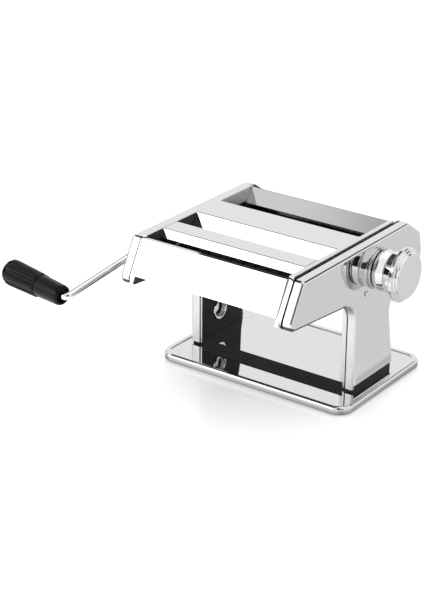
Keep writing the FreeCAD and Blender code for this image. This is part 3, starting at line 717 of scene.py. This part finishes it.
class CombShape(Shape):
    """Bar with equal fingers standing on it, along the X axis."""

    def __init__(self) -> None:
        """Build the tree."""
        super().__init__(
            "finger_comb",
            {
                "Fingers": 10, "Pitch": 0.013, "First": 0.0, "Finger Size": (0.006, 0.0018, 0.0058),
                "Bar Size": (0.1586, 0.0018, 0.0023),
            },
        )
        size, put, calc = self.size, self.put, self.calc
        finger = put("MeshCube", {"Size": size["Finger Size"]})
        tall = put("ShaderNodeSeparateXYZ", (size["Finger Size"],)).node.outputs["Z"]
        deep = put("ShaderNodeSeparateXYZ", (size["Bar Size"],)).node.outputs["Z"]
        both = calc("ADD", tall, deep)
        # Just under a half, so that the fingers stand a little way into the bar.
        lift = calc("MULTIPLY", both, 0.49)
        row = self.row(finger, size["Fingers"], {"X": size["First"], "Z": lift}, {"X": size["Pitch"]})
        bar = put("MeshCube", {"Size": size["Bar Size"]})
        self.close(put("JoinGeometry", {0: [bar, row]}))


class FastenerShape(Shape):
    """Upright screw with a round head below and a hexagon nut above, at each point of the seed."""

    def __init__(self) -> None:
        """Build the tree."""
        super().__init__(
            "fasteners",
            {
                "Shank Radius": 0.002, "Bottom": 0.0068, "Top": 0.022, "Head Radius": 0.004,
                "Head Height": 0.0024, "Nut Radius": 0.0039, "Nut Bottom": 0.0165, "Nut Height": 0.003,
            },
        )
        size, put, calc = self.size, self.put, self.calc
        length = calc("SUBTRACT", size["Top"], size["Bottom"])
        screw = self.rod(32, size["Shank Radius"], size["Bottom"], length)
        skirt = calc("MULTIPLY", size["Head Height"], 0.6)
        under = calc("SUBTRACT", size["Bottom"], skirt)
        head = self.rod(32, size["Head Radius"], under, skirt)
        dome = calc("MULTIPLY", size["Head Height"], 0.4)
        narrow = calc("MULTIPLY", size["Head Radius"], 0.7)
        crown = put(
            "MeshCone",
            {"Vertices": 32, "Radius Top": size["Head Radius"], "Radius Bottom": narrow, "Depth": dome},
        )
        lowest = calc("SUBTRACT", size["Bottom"], size["Head Height"])
        low = put("ShaderNodeCombineXYZ", {"Z": lowest})
        crown_low = put("Transform", {"Geometry": crown, "Translation": low})
        nut = self.rod(6, size["Nut Radius"], size["Nut Bottom"], size["Nut Height"])
        one = put("JoinGeometry", {0: [screw, head, nut, crown_low]})
        self.close(put("InstanceOnPoints", {"Points": size["Geometry"], "Instance": one}))

    def rod(self, sides: int, radius: object, bottom: object, height: object) -> NodeSocket:
        """Upright bar with flat ends.

        Args:
            sides: number of side faces.
            radius: radius to the corners.
            bottom: level of the lower end.
            height: length of the bar.

        Returns:
            Its mesh.
        """
        bar = self.put("MeshCylinder", {"Vertices": sides, "Radius": radius, "Depth": height})
        half = self.calc("MULTIPLY", height, 0.5)
        level = self.calc("ADD", bottom, half)
        place = self.put("ShaderNodeCombineXYZ", {"Z": level})
        return self.put("Transform", {"Geometry": bar, "Translation": place})


# ---------------- sub-assemblies


@dataclass
class BaseTray:
    """Pressed tray with its black spacer, deck plate, feet, screws and nuts. Sizes in millimetres."""

    finishes: Finishes
    screw_side: float = 85.0
    screw_backs: tuple[float, float] = (-20.0, 18.0)
    rim_side: float = 95.0
    rim_back: float = 60.0
    fold_level: float = 6.9
    step_level: float = 7.9

    def build(self) -> None:
        """Make every piece of the base."""
        black, base_mirror = self.finishes.liner_black, self.finishes.base_mirror
        tray = sheet_piece("base_pan", base_mirror, 0.3)
        reface(tray, self.finishes.satin, self.soft_fold)
        # Painted shade: the step behind the front fold is dark grey.
        reface(tray, self.finishes.seam, self.front_step)
        deck = sheet_piece("deck_plate", base_mirror, 0.05)
        # Painted shade: the deck plate's front and right edges are black.
        reface(deck, black, lambda middle, normal: normal.y < -HALF or normal.x > HALF)
        sheet_piece("plinth_spacer", black, 0.4)
        sheet_piece("rubber_feet", self.finishes.rubber, 0.8)
        sides = (-self.screw_side, self.screw_side)
        places = [(side, back, 0.0) for side in sides for back in self.screw_backs]
        fasteners = FastenerShape().grow("base_fasteners", point_mesh(places), self.finishes.zinc)
        settle(fasteners, "frame", "brushed_inner", "base_screws", "base_nuts")

    def soft_fold(self, middle: Vector, normal: Vector) -> bool:
        """Whether a face is part of the tray's left or rear fold."""
        rear = middle.y > self.rim_back and (normal.y < -0.15 or HARDLY < normal.y < MOSTLY)
        return rear or (middle.x < -self.rim_side and abs(normal.x) > HARDLY and middle.z > self.fold_level)

    def front_step(self, middle: Vector, normal: Vector) -> bool:
        """Whether a face is the step behind the tray's front fold, which takes painted shade."""
        return middle.y < -self.rim_back and normal.y > HARDLY and middle.z > self.step_level


@dataclass
class SideHousings:
    """Frames, outer covers, liners and inner fittings of both sides. Sizes in millimetres."""

    finishes: Finishes
    turned: TurnedShape
    frame_edge: float = 0.3
    cover_edge: float = 0.55
    near: float = 0.35
    frame_lip: float = 81.1
    cover_lip: float = 83.0
    head_cut: float = 0.9
    leg_cut: float = 1.5
    leg_top: float = 97.0
    leg_front_top: float = 81.0
    foot_level: float = 15.0
    tray_level: float = 10.0
    foot_front: float = 34.35
    inner_face: float = 79.5
    corner_face: float = 79.8
    lean: float = 0.2
    head_start: float = 60.0
    arch_end: float = 20.0
    arch_level: float = 60.0
    bore_mouth: float = 76.4
    painted_shade_band: tuple[float, float] = (-83.6, -80.2)

    def build(self) -> None:
        """Make every piece of both sides."""
        satin, dark, black = self.finishes.satin, self.finishes.seam, self.finishes.liner_black
        for word in ("left", "right"):
            inner = sheet_piece("side_frame_" + word, self.finishes.polished, self.frame_edge)
            outer = sheet_piece("side_cover_" + word, self.finishes.polished, self.cover_edge)
            self.lower_foot(inner)
            reface(inner, satin, self.front_corner)
            # Painted shade: the inside of each frame plate is dark grey.
            reface(inner, dark, self.plate_inside)
            if word == "left":
                self.close_seam(outer)
                # Painted shade: on the left the lips deep in the gap are dark grey.
                self.dress(inner, self.frame_lip, dark)
                self.dress(outer, self.cover_lip - self.head_cut, dark)
                reface(outer, satin, self.leg_lip)
            else:
                # Painted shade: on the right the lips deep in the gap are black.
                self.dress(inner, self.frame_lip, black)
                self.dress(outer, self.cover_lip, black)
            sheet_piece("standoffs_" + word, self.finishes.zinc, 0.2)
            sheet_piece("guides_" + word, self.finishes.zinc, 0.1)
            sheet_piece("bushes_" + word, self.finishes.nylon, 0.2)
        sheet_piece("leg_liner_left", black, 0.3)
        facing = sheet_piece("leg_liner_right", self.finishes.polished, 0.3)
        reface(facing, satin, lambda middle, normal: normal.y < -PARTLY)
        self.collar()

    def dress(self, piece: Object, lip: float, edge: Material) -> None:
        """Give a frame or a cover its duller faces, and painted shade on its lip and on the underside of the
        head.

        Args:
            piece: frame or cover.
            lip: distance of its lip from the middle.
            edge: finish of the lip deep in the gap, a dark finish that paints the shade there.
        """
        reface(piece, self.finishes.satin, self.leg_front)
        low, high = lip - self.near, lip + self.near
        # Painted shade: the lip deep in the gap takes the dark edge finish.
        reface(piece, edge, lambda middle, normal: abs(normal.x) > HALF and low < abs(middle.x) < high)
        # Painted shade: the underside of the head is dark grey.
        reface(piece, self.finishes.seam, self.head_underside)
        reface(piece, self.finishes.satin, self.arch_fold)

    def head_underside(self, middle: Vector, normal: Vector) -> bool:
        """Whether a face is on the underside of the head."""
        return normal.z < -self.lean and middle.y < -self.head_start

    def arch_fold(self, middle: Vector, normal: Vector) -> bool:
        """Whether a face is the curved fold of the arch between leg and head."""
        inside = -self.head_start < middle.y < -self.arch_end and middle.z > self.arch_level
        return inside and -FULLY < normal.z < -SLIGHTLY

    def leg_front(self, middle: Vector, normal: Vector) -> bool:
        """Whether a face is the front wall of a leg."""
        return normal.y < -MOSTLY and abs(normal.z) < HARDLY and middle.z < self.leg_front_top

    def front_corner(self, middle: Vector, normal: Vector) -> bool:
        """Whether a face is a frame's rounded corner beside the apron."""
        return abs(normal.x) > PARTLY and normal.y < -self.lean and abs(middle.x) < self.corner_face

    def plate_inside(self, middle: Vector, normal: Vector) -> bool:
        """Whether a face is the inside of a frame's plate."""
        return abs(normal.x) > NEARLY and abs(middle.x) < self.inner_face

    def leg_lip(self, middle: Vector, normal: Vector) -> bool:
        """Whether a face is the end of the left cover's lip along its leg."""
        reach = self.cover_lip - self.leg_cut
        return normal.x > HALF and abs(middle.x + reach) < self.near and middle.z < self.leg_top

    def close_seam(self, cover: Object) -> None:
        """Bring a cover's lip nearer to its frame, and part its faces where the leg meets the head.

        Args:
            cover: cover whose lip moves.
        """
        work = bmesh.new()
        work.from_mesh(cover.data)
        everything = [*work.verts, *work.edges, *work.faces]
        bmesh.ops.bisect_plane(work, geom=everything, plane_co=(0, 0, self.leg_top * MM), plane_no=(0, 0, 1))
        for point in work.verts:
            if abs(abs(point.co.x) / MM - self.cover_lip) < self.cover_edge + 0.05:
                cut = self.head_cut if point.co.z / MM > self.leg_top + 0.01 else self.leg_cut
                point.co.x -= math.copysign(cut * MM, point.co.x)
        work.to_mesh(cover.data)
        work.free()

    def lower_foot(self, frame_skin: Object) -> None:
        """Bring the front wall of a frame's leg down before the spacer, as far as its cover's wall.

        Args:
            frame_skin: frame whose leg grows.
        """
        drop = (self.foot_level - self.tray_level) * MM
        for point in frame_skin.data.vertices:
            low = point.co.z / MM < self.foot_level + self.frame_edge + 0.1
            if low and point.co.y / MM < -self.foot_front:
                point.co.z -= drop

    def collar(self) -> None:
        """Turn the pressed collar of the clamp hole, satin inside with a black band of painted shade deep in
        the bore.
        """
        low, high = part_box("clamp_collar")
        centre = (low + high) / 2
        run = [(7.5, -91.6), (7.5, -82.9), (7.5, -79.0), (7.9, -75.6), (8.6, -75.0), (9.7, -75.0),
               (10.6, -75.6), (10.6, -76.2), (9.5, -76.2), (9.5, -91.6), (7.5, -91.6)]
        made = self.turned.grow(
            "clamp_collar_turned", line_mesh(run), self.finishes.knob_chrome,
            Matrix.Translation((0.0, centre.y, centre.z)), Segments=96, Edge_Round=0.0002,
        )
        mouth = -self.bore_mouth
        reface(made, self.finishes.satin, lambda middle, normal: abs(normal.x) < HALF and middle.x < mouth)
        # Painted shade: a black band deep in the bore.
        reface(made, self.finishes.liner_black, lambda middle, normal: self.painted_shade_band[0] < middle.x < self.painted_shade_band[1])
        settle(made, "frame", SLOT_OF["clamp_collar"], "clamp_collar")


@dataclass
class HeadCovers:
    """Polished sheets that close the head, and the bars that hold them. Sizes in millimetres."""

    finishes: Finishes
    fold_edge: float = 0.45
    hopper_front: float = 26.0
    hopper_side: float = 77.5

    def build(self) -> None:
        """Make every cover piece."""
        covers = {
            node: sheet_piece(node, self.finishes.polished, self.fold_edge)
            for node in ("front_apron", "front_divider", "top_cover", "hopper_plate", "rear_cover")
        }
        apron = covers["front_apron"]
        reface(apron, self.finishes.satin, lambda middle, normal: abs(normal.x) > SLIGHTLY)
        # Painted shade: the apron's front hem and lower faces are black.
        reface(apron, self.finishes.liner_black, lambda middle, normal: normal.y < 0 and normal.z < SLIGHTLY)
        reface(covers["top_cover"], self.finishes.satin, self.hopper_cheek)
        # Painted shade: the cheeks deep in the cutter slots are near black.
        sheet_piece("slot_cheeks", self.finishes.slot_black, 0.1)
        for node in ("tie_rods", "tie_nuts", "carriage_bar"):
            sheet_piece(node, self.finishes.zinc, 0.15)
        for node in ("scraper_adjust", "scraper_drive"):
            sheet_piece(node, self.finishes.nylon, 0.1)

    def hopper_cheek(self, middle: Vector, normal: Vector) -> bool:
        """Whether a face is an end cheek of the hopper."""
        return abs(normal.x) > NEARLY and middle.y > -self.hopper_front and abs(middle.x) < self.hopper_side


@dataclass
class CutterPair:
    """Two rollers with interleaved cutting discs and the combs that clear them. Sizes in millimetres."""

    finishes: Finishes
    kind: str
    pitch: float
    level: float
    rear: float
    front: float
    turned: TurnedShape
    discs: DiscRowShape
    combs: CombShape
    half: float = 75.5
    core: float = 9.1
    rim: float = 11.5
    shaft: float = 6.0
    bore: float = 3.55
    bore_depth: float = 20.0
    disc_root: float = 8.9
    disc_play: float = 0.1
    disc_lip: float = 0.12
    comb_bar: float = 2.3
    finger_play: float = 0.5

    def middles(self, shift: float) -> list[float]:
        """Middle of each disc along the roller.

        Args:
            shift: offset of the whole row.

        Returns:
            Positions along X.
        """
        most = math.ceil(self.half / self.pitch)
        spots = [index * self.pitch + shift for index in range(-most, most + 1)]
        return [spot for spot in spots if abs(spot) + self.pitch / 2 < self.half]

    def roller(self, place: str, back: float, shift: float, socket: bool) -> None:
        """Make one roller and its discs.

        Args:
            place: which roller of the pair.
            back: place of its axis along Y.
            shift: offset of its discs.
            socket: whether its left end takes the crank.
        """
        node = f"{self.kind}_cutter_{place}"
        low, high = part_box(node)
        left, right = low.x / MM, high.x / MM
        run = [(self.shaft, left), (self.shaft, -self.half), (self.core, -self.half), (self.core, self.half),
               (self.shaft, self.half), (self.shaft, right), (0.0, right)]
        if socket:
            inner = left + self.bore_depth
            run = [(0.0, inner), (self.bore, inner), (self.bore, left), *run]
        else:
            run = [(0.0, left), *run]
        spot = Matrix.Translation((0.0, back * MM, self.level * MM))
        # Painted shade: the roller and its discs take the dark roller finish for the shade in the slots.
        core = self.turned.grow(node + "_core", line_mesh(run), self.finishes.roller, spot, Edge_Round=0.0003)
        settle(core, BODY_OF[node], "roller_steel", node)
        spots = self.middles(shift)
        row = self.discs.grow(
            node + "_discs", point_mesh([(0, 0, 0)]), self.finishes.roller, spot, Discs=len(spots),
            Pitch=self.pitch * MM, First=spots[0] * MM, Core=self.disc_root * MM, Rim=self.rim * MM,
            Width=(self.pitch / 2 - self.disc_play) * MM, Lip=self.disc_lip * MM,
        )
        settle(row, BODY_OF[node], "roller_steel")

    def comb(self, place: str, shift: float) -> None:
        """Make the comb of one roller.

        Args:
            place: which roller of the pair.
            shift: offset of that roller's discs.
        """
        node = f"comb_{self.kind}_{place}"
        low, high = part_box(node)
        gaps = [spot + self.pitch / 2 for spot in self.middles(shift)][:-1]
        depth = high.y - low.y
        bar = self.comb_bar * MM
        spot = Matrix.Translation((0.0, (low.y + high.y) / 2, low.z + bar / 2))
        made = self.combs.grow(
            node + "_fingers", point_mesh([(0, 0, 0)]), self.finishes.nylon, spot, Fingers=len(gaps),
            Pitch=self.pitch * MM, First=gaps[0] * MM, Bar_Size=(high.x - low.x, depth, bar),
            Finger_Size=((self.pitch / 2 - self.finger_play) * MM, depth, high.z - low.z - bar),
        )
        settle(made, "frame", "nylon", node)

    def build(self) -> None:
        """Make both rollers, their combs and the finish of their gears."""
        self.roller("rear", self.rear, 0.0, True)
        self.roller("front", self.front, self.pitch / 2, False)
        self.comb("front", self.pitch / 2)
        self.comb("rear", 0.0)
        for place in ("rear", "front"):
            sheet_piece(f"gear_{self.kind}_{place}", self.finishes.zinc, 0.08)


@dataclass
class SmoothRollers:
    """The driven roller, the adjustable one, its carriage and their gears."""

    finishes: Finishes

    def build(self) -> None:
        """Make every piece of the sheeting rollers."""
        # Painted shade: both rollers take the dark roller finish for the shade in the throat.
        sheet_piece("drive_roller", self.finishes.roller, 0.2)
        sheet_piece("adjust_roller", self.finishes.roller, 0.2)
        for node in ("carriage_left", "carriage_right", "gear_drive", "gear_adjust"):
            sheet_piece(node, self.finishes.zinc, 0.1)


@dataclass
class ThicknessKnob:
    """Setting knob with its collar, shaft, cam and index mark. Sizes in millimetres."""

    finishes: Finishes
    turned: TurnedShape
    rods: BentRodShape
    back: float = 3.0
    level: float = 118.0
    tick_radius: float = 2.4
    tick_start: float = -70.0
    tick_step: float = 12.0
    ink_radius: float = 0.32
    ink_lift: float = 0.1
    dot_back: float = 1.4
    dot_rise: float = 1.6

    def build(self) -> None:
        """Make every piece of the knob."""
        spot = Matrix.Translation((0.0, self.back * MM, self.level * MM))
        run = [(10.4, 92.6), (18.4, 92.6), (18.4, 94.4), (19.4, 95.0), (20.0, 96.2), (19.9, 97.6),
               (18.9, 101.5), (18.3, 103.6), (18.9, 104.2), (19.7, 104.6), (20.0, 105.2), (20.0, 111.0),
               (19.4, 111.6), (17.8, 111.6), (17.8, 113.0), (6.0, 113.0), (6.0, 103.0), (10.4, 103.0),
               (10.4, 92.6)]
        hub = self.turned.grow(
            "knob_hub_turned", line_mesh(run), self.finishes.knob_chrome, spot, Segments=160,
            Edge_Round=0.0009,
        )
        settle(hub, "knob", "knob_chrome", "knob_hub")
        run = [(0.0, 113.0), (24.3, 113.0), (25.5, 113.9), (25.5, 116.7), (24.6, 117.6), (23.6, 117.6),
               (23.6, 118.6), (22.8, 119.6), (21.8, 119.6), (21.8, 120.8), (20.6, 121.9), (0.0, 121.9)]
        disc = self.turned.grow(
            "knob_disc_turned", line_mesh(run), self.finishes.knob_face, spot, Segments=192, Edge_Round=0.0006
        )
        settle(disc, "knob", "knob_chrome", "knob_disc")
        for node in ("knob_collar", "knob_shaft", "knob_cam"):
            sheet_piece(node, self.finishes.zinc, 0.15)
        self.mark()

    def mark(self) -> None:
        """Make the small curved tick and dot that the knob is set against."""
        low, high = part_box("index_mark")
        middle = (low + high) / 2
        turns = [math.radians(step * self.tick_step + self.tick_start) for step in range(13)]
        arc = [(-self.tick_radius * math.cos(turn), self.tick_radius * math.sin(turn)) for turn in turns]
        upright = Matrix(((0, 0, 1, 0), (1, 0, 0, 0), (0, 1, 0, 0), (0, 0, 0, 1)))
        spot = Matrix.Translation((low.x + self.ink_lift * MM, middle.y, middle.z)) @ upright
        tick = self.rods.grow(
            "index_tick", line_mesh(arc), self.finishes.ink, spot, Rod_Radius=self.ink_radius * MM,
            First_Bend=0.0, Second_Bend=0.0,
        )
        settle(tick, "frame", "printed_mark", "index_mark")
        spot = Matrix.Translation((low.x, middle.y + self.dot_back * MM, middle.z + self.dot_rise * MM))
        run = [(0.0, 0.0), (0.6, 0.0), (0.5, 0.3), (0.0, 0.3)]
        dot = self.turned.grow(
            "index_dot", line_mesh(run), self.finishes.ink, spot, Segments=24, Edge_Round=0.0001
        )
        settle(dot, "frame", "printed_mark")


@dataclass
class CrankHandle:
    """Bent rod with its clip and the fluted grip that spins on it. Sizes in millimetres."""

    finishes: Finishes
    turned: TurnedShape
    rods: BentRodShape
    back: float = -52.0
    level: float = 118.0
    drop: float = 13.1
    lean: float = 8.6
    start: float = -72.0
    reach: float = -114.7
    arm: float = 122.3
    tail: float = 64.0

    def build(self) -> None:
        """Make the rod, its clip and the grip."""
        base = Matrix.Translation((0.0, self.back * MM, self.level * MM))
        base = base @ Matrix.Rotation(math.radians(self.drop), 4, "X")
        lean = math.radians(self.lean)
        corner = (self.reach - self.arm * math.sin(lean), -self.arm * math.cos(lean))
        along = (-math.cos(lean), math.sin(lean))
        end = (corner[0] + along[0] * self.tail, corner[1] + along[1] * self.tail)
        run = [(self.start, 0.0), (self.reach, 0.0), corner, end]
        rod = self.rods.grow("crank_rod_bent", line_mesh(run), self.finishes.rod_chrome, base)
        settle(rod, "crank", "polished_steel", "crank_rod")
        sheet_piece("grip_clip", self.finishes.zinc, 0.1)
        seat = base @ Matrix.Translation((corner[0] * MM, corner[1] * MM, 0.0))
        seat = seat @ Matrix.Rotation(math.atan2(along[1], along[0]), 4, "Z")
        skin = [(0.0, 66.0), (3.6, 66.0), (3.6, 10.0), (6.6, 8.5), (6.8, 4.0), (8.2, 4.3), (9.3, 5.4),
                (9.7, 7.5), (10.5, 33.4), (11.7, 34.6), (12.7, 70.0), (12.4, 74.5), (10.6, 77.5), (7.0, 79.2),
                (0.0, 79.6)]
        grip = self.turned.grow(
            "crank_grip_moulded", line_mesh(skin), self.finishes.grip_black, seat, Segments=140,
            Edge_Round=0.0009, Rings=11, Flutes=7.0, Flute_Depth=0.0026, Flute_Width=0.28, Flute_Start=0.0338,
            Flute_End=0.0765, Run_Out=0.0011,
        )
        settle(grip, "grip", "black_plastic", "crank_grip")


# ---------------- studio


@dataclass
class Studio:
    """Pale floor, soft light, dark cards for the chrome to mirror, and the camera. Sizes in metres."""

    middle: Vector
    floor_width: float = 8.0
    floor_glow: float = 0.17
    air: float = 1.16
    near_floor: float = 1.6
    far_floor: float = 0.92
    # Zones of painted shadow that mirrors see on the floor: middle, half sizes, shade and softness.
    footprint_shadow: tuple[float, ...] = (0.0, 0.0, 0.104, 0.0715, 0.3, 0.014)
    left_leg_shadow: tuple[float, ...] = (-0.42, 0.12, 0.22, 0.22, 0.3, 0.06)
    light_distance: float = 1.6
    card_distance: float = 1.45
    fade_start: float = -0.12
    fade_end: float = 0.16
    lens_place: tuple[float, ...] = (0.8196, -1.2726, 0.7259)
    lens_right: tuple[float, ...] = (0.8102, 0.5861, 0.0096)
    lens_up: tuple[float, ...] = (-0.2425, 0.3202, 0.9158)
    lens_back: tuple[float, ...] = (0.5337, -0.7443, 0.4015)
    focal_length: float = 105.5

    def floor(self) -> None:
        """Lay a pale floor with a faint polish, which mirrors see as an emission of painted light and shadow.
        """
        material, tree, shader = surface("pale_studio_floor")
        place = add(tree, "ShaderNodeTexCoord").outputs["Object"]
        clouds = add(tree, NOISE, {"Vector": place, "Scale": 0.8, "Detail": 2.0}).outputs["Fac"]
        colours = {0: clouds, 6: linear("#f2f2f2"), 7: linear("#f6f6f6")}
        tint = add(tree, "ShaderNodeMix", colours, data_type="RGBA")
        tree.links.new(tint.outputs[2], shader.inputs["Base Color"])
        shader.inputs["Roughness"].default_value = 0.22
        shader.inputs["Specular IOR Level"].default_value = 0.35
        shader.inputs["Emission Color"].default_value = WHITE
        shader.inputs["Emission Strength"].default_value = self.floor_glow
        # Painted light: mirrors on the machine see the floor as an emission, brighter on the side of the
        # large softbox.
        lean = add(tree, VECTOR, (place, (0.53, 0.74, 0.0)), operation="DOT_PRODUCT").outputs["Value"]
        glow = between(tree, lean, (-0.25, 0.1), (self.near_floor, self.far_floor))
        # Painted shadow: they see it dark close round the base and beside the left leg, which draws the
        # edges.
        for zone in (self.footprint_shadow, self.left_leg_shadow):
            factor = self.dim(tree, place, *zone)
            glow = add(tree, "ShaderNodeMath", (glow, factor), operation="MULTIPLY").outputs[0]
        lit = add(tree, "ShaderNodeEmission", {"Color": WHITE, "Strength": glow}).outputs["Emission"]
        mirrored = add(tree, "ShaderNodeLightPath").outputs["Is Glossy Ray"]
        both = add(tree, "ShaderNodeMixShader", (mirrored, shader.outputs["BSDF"], lit))
        out = next(node for node in tree.nodes if node.type == "OUTPUT_MATERIAL")
        tree.links.new(both.outputs["Shader"], out.inputs["Surface"])
        size = (self.floor_width, self.floor_width)
        self.sheet("studio_floor", size, material, Matrix.Identity(4))

    def sheet(
        self, name: str, size: tuple[float, float], material: Material, place: Matrix
    ) -> Object:
        """Make one flat rectangle.

        Args:
            name: name of the object.
            size: its width and height.
            material: its finish.
            place: where it stands.

        Returns:
            The object.
        """
        wide, tall = size[0] / 2, size[1] / 2
        corners = [(-wide, -tall, 0), (wide, -tall, 0), (wide, tall, 0), (-wide, tall, 0)]
        mesh = bpy.data.meshes.new(name)
        mesh.from_pydata(corners, [], [(0, 1, 2, 3)])
        mesh.materials.append(material)
        mesh.transform(place)
        return link(name, mesh)

    def dim(
        self, tree: NodeTree, place: NodeSocket, x: float, y: float, wide: float,
        deep: float, shade: float, soft: float,
    ) -> NodeSocket:
        """Brightness factor of a rectangular zone of painted shadow on the floor, seen only in mirrors.

        Args:
            tree: material tree.
            place: position on the floor.
            x: middle of the zone along X.
            y: middle of the zone along Y.
            wide: half width along X.
            deep: half depth along Y.
            shade: factor inside the zone.
            soft: width over which the factor returns to one.

        Returns:
            The factor.
        """
        moved = add(tree, VECTOR, (place, (x, y, 0.0)), operation="SUBTRACT").outputs[0]
        near = add(tree, VECTOR, (moved,), operation="ABSOLUTE").outputs[0]
        past = add(tree, VECTOR, (near, (wide, deep, 1.0)), operation="SUBTRACT").outputs[0]
        outside = add(tree, VECTOR, (past, (0.0, 0.0, 0.0)), operation="MAXIMUM").outputs[0]
        gap = add(tree, VECTOR, (outside,), operation="LENGTH").outputs["Value"]
        return between(tree, gap, (0.0, soft), (shade, 1.0))

    def sky(self) -> None:
        """Fill the air with even white light."""
        world = bpy.data.worlds.new("studio_air")
        world.use_nodes = True
        world.node_tree.nodes.clear()
        glow = add(world.node_tree, "ShaderNodeBackground", {"Color": WHITE, "Strength": self.air})
        add(world.node_tree, "ShaderNodeOutputWorld", {"Surface": glow.outputs[0]})
        bpy.context.scene.world = world

    def aim(self, toward: tuple[float, float, float], distance: float) -> Matrix:
        """Place something out along a direction, facing the machine.

        Args:
            toward: direction from the machine.
            distance: how far out.

        Returns:
            Its place and turn.
        """
        out = Vector(toward).normalized()
        turn = out.to_track_quat("Z", "Y").to_matrix().to_4x4()
        return Matrix.Translation(self.middle + out * distance) @ turn

    def softbox(
        self, name: str, toward: tuple[float, float, float], size: tuple[float, float], glow: float
    ) -> None:
        """Hang a large soft light.

        Args:
            name: name of the light.
            toward: direction from the machine.
            size: width and height.
            glow: brightness of its face against the air's one.
        """
        light = bpy.data.lights.new(name, "AREA")
        light.shape = "RECTANGLE"
        light.size, light.size_y = size
        light.energy = glow * math.pi * size[0] * size[1]
        made = bpy.data.objects.new(name, light)
        made.matrix_world = self.aim(toward, self.light_distance)
        made.visible_camera = False
        bpy.context.scene.collection.objects.link(made)

    def card(
        self,
        name: str,
        toward: tuple[float, float, float],
        size: tuple[float, float],
        shade: float,
        far_shade: float | None = None,
        roll: float = 0.0,
    ) -> None:
        """Stand a grey card where only mirrors see it.

        Args:
            name: name of the card.
            toward: direction from the machine.
            size: width and height.
            shade: brightness of the card against the air's one.
            far_shade: brightness on the machine's right, when the card fades.
            roll: turn in its own plane, in degrees.
        """
        material = bpy.data.materials.new(name)
        material.use_nodes = True
        tree = material.node_tree
        tree.nodes.clear()
        place = self.aim(toward, self.card_distance) @ Matrix.Rotation(math.radians(roll), 4, "Z")
        across = place.to_3x3().col[0]
        middle = place.translation.dot(across)
        spot = add(tree, "ShaderNodeTexCoord").outputs["Object"]
        along = add(tree, VECTOR, (spot, tuple(across)), operation="DOT_PRODUCT").outputs["Value"]
        ends = (middle + self.fade_start, middle + self.fade_end)
        shades = (shade, shade if far_shade is None else far_shade)
        fade = between(tree, along, ends, shades, interpolation_type="SMOOTHSTEP")
        glow = add(tree, "ShaderNodeEmission", {"Color": WHITE, "Strength": fade})
        add(tree, "ShaderNodeOutputMaterial", {"Surface": glow.outputs[0]})
        made = self.sheet(name, size, material, place)
        made.visible_camera = False
        made.visible_diffuse = False
        made.visible_shadow = False

    def camera(self) -> None:
        """Set the camera above and to the right of the front."""
        lens = bpy.data.cameras.new("studio_camera")
        lens.lens = self.focal_length
        lens.sensor_width = 36.0
        lens.clip_start, lens.clip_end = 0.05, 30.0
        made = bpy.data.objects.new("studio_camera", lens)
        turn = Matrix((self.lens_right, self.lens_up, self.lens_back)).transposed().to_4x4()
        made.matrix_world = Matrix.Translation(self.lens_place) @ turn
        bpy.context.scene.collection.objects.link(made)
        bpy.context.scene.camera = made

    def build(self) -> None:
        """Set up the whole studio."""
        self.floor()
        self.sky()
        self.softbox("front_left_softbox", (-0.53, -0.74, 0.33), (1.7, 0.95), 1.62)
        self.softbox("overhead_softbox", (-0.15, 0.2, 1.0), (1.2, 1.2), 0.35)
        self.card("hopper_card", (-0.53, -0.655, 0.75), (1.6, 0.29), 0.95, 0.45, 24.0)
        self.card("lens_side_card", (0.5337, -0.7443, 0.5), (0.6, 1.5), 0.02)
        self.card("right_flag", (0.82, -0.5, 0.1), (0.35, 1.1), 0.05)
        self.card("left_flag", (-1.0, -0.12, 0.05), (1.25, 0.45), 0.1)
        self.card("back_right_flag", (0.40, 0.744, 0.533), (0.6, 0.5), 0.05)
        self.card("overhead_flag", (-0.53, 0.03, 0.85), (2.0, 0.5), 0.06)
        self.camera()


# ---------------- the whole machine


def main() -> None:
    """Dress and build the machine piece by piece, then light it."""
    logging.basicConfig(level=logging.INFO, format="%(message)s")
    bpy.context.scene.view_settings.view_transform = "Standard"
    finishes = Finishes.make()
    turned, rods, discs, combs = TurnedShape(), BentRodShape(), DiscRowShape(), CombShape()
    BaseTray(finishes).build()
    SideHousings(finishes, turned).build()
    HeadCovers(finishes).build()
    CutterPair(finishes, "wide", 13.0, 118.0, -52.0, -73.0, turned, discs, combs).build()
    CutterPair(finishes, "narrow", 4.0, 124.0, -101.5, -122.5, turned, discs, combs).build()
    SmoothRollers(finishes).build()
    ThicknessKnob(finishes, turned, rods).build()
    CrankHandle(finishes, turned, rods).build()
    Studio(Vector((0.0, -0.05, 0.13))).build()


if __name__ == "__main__":
    main()
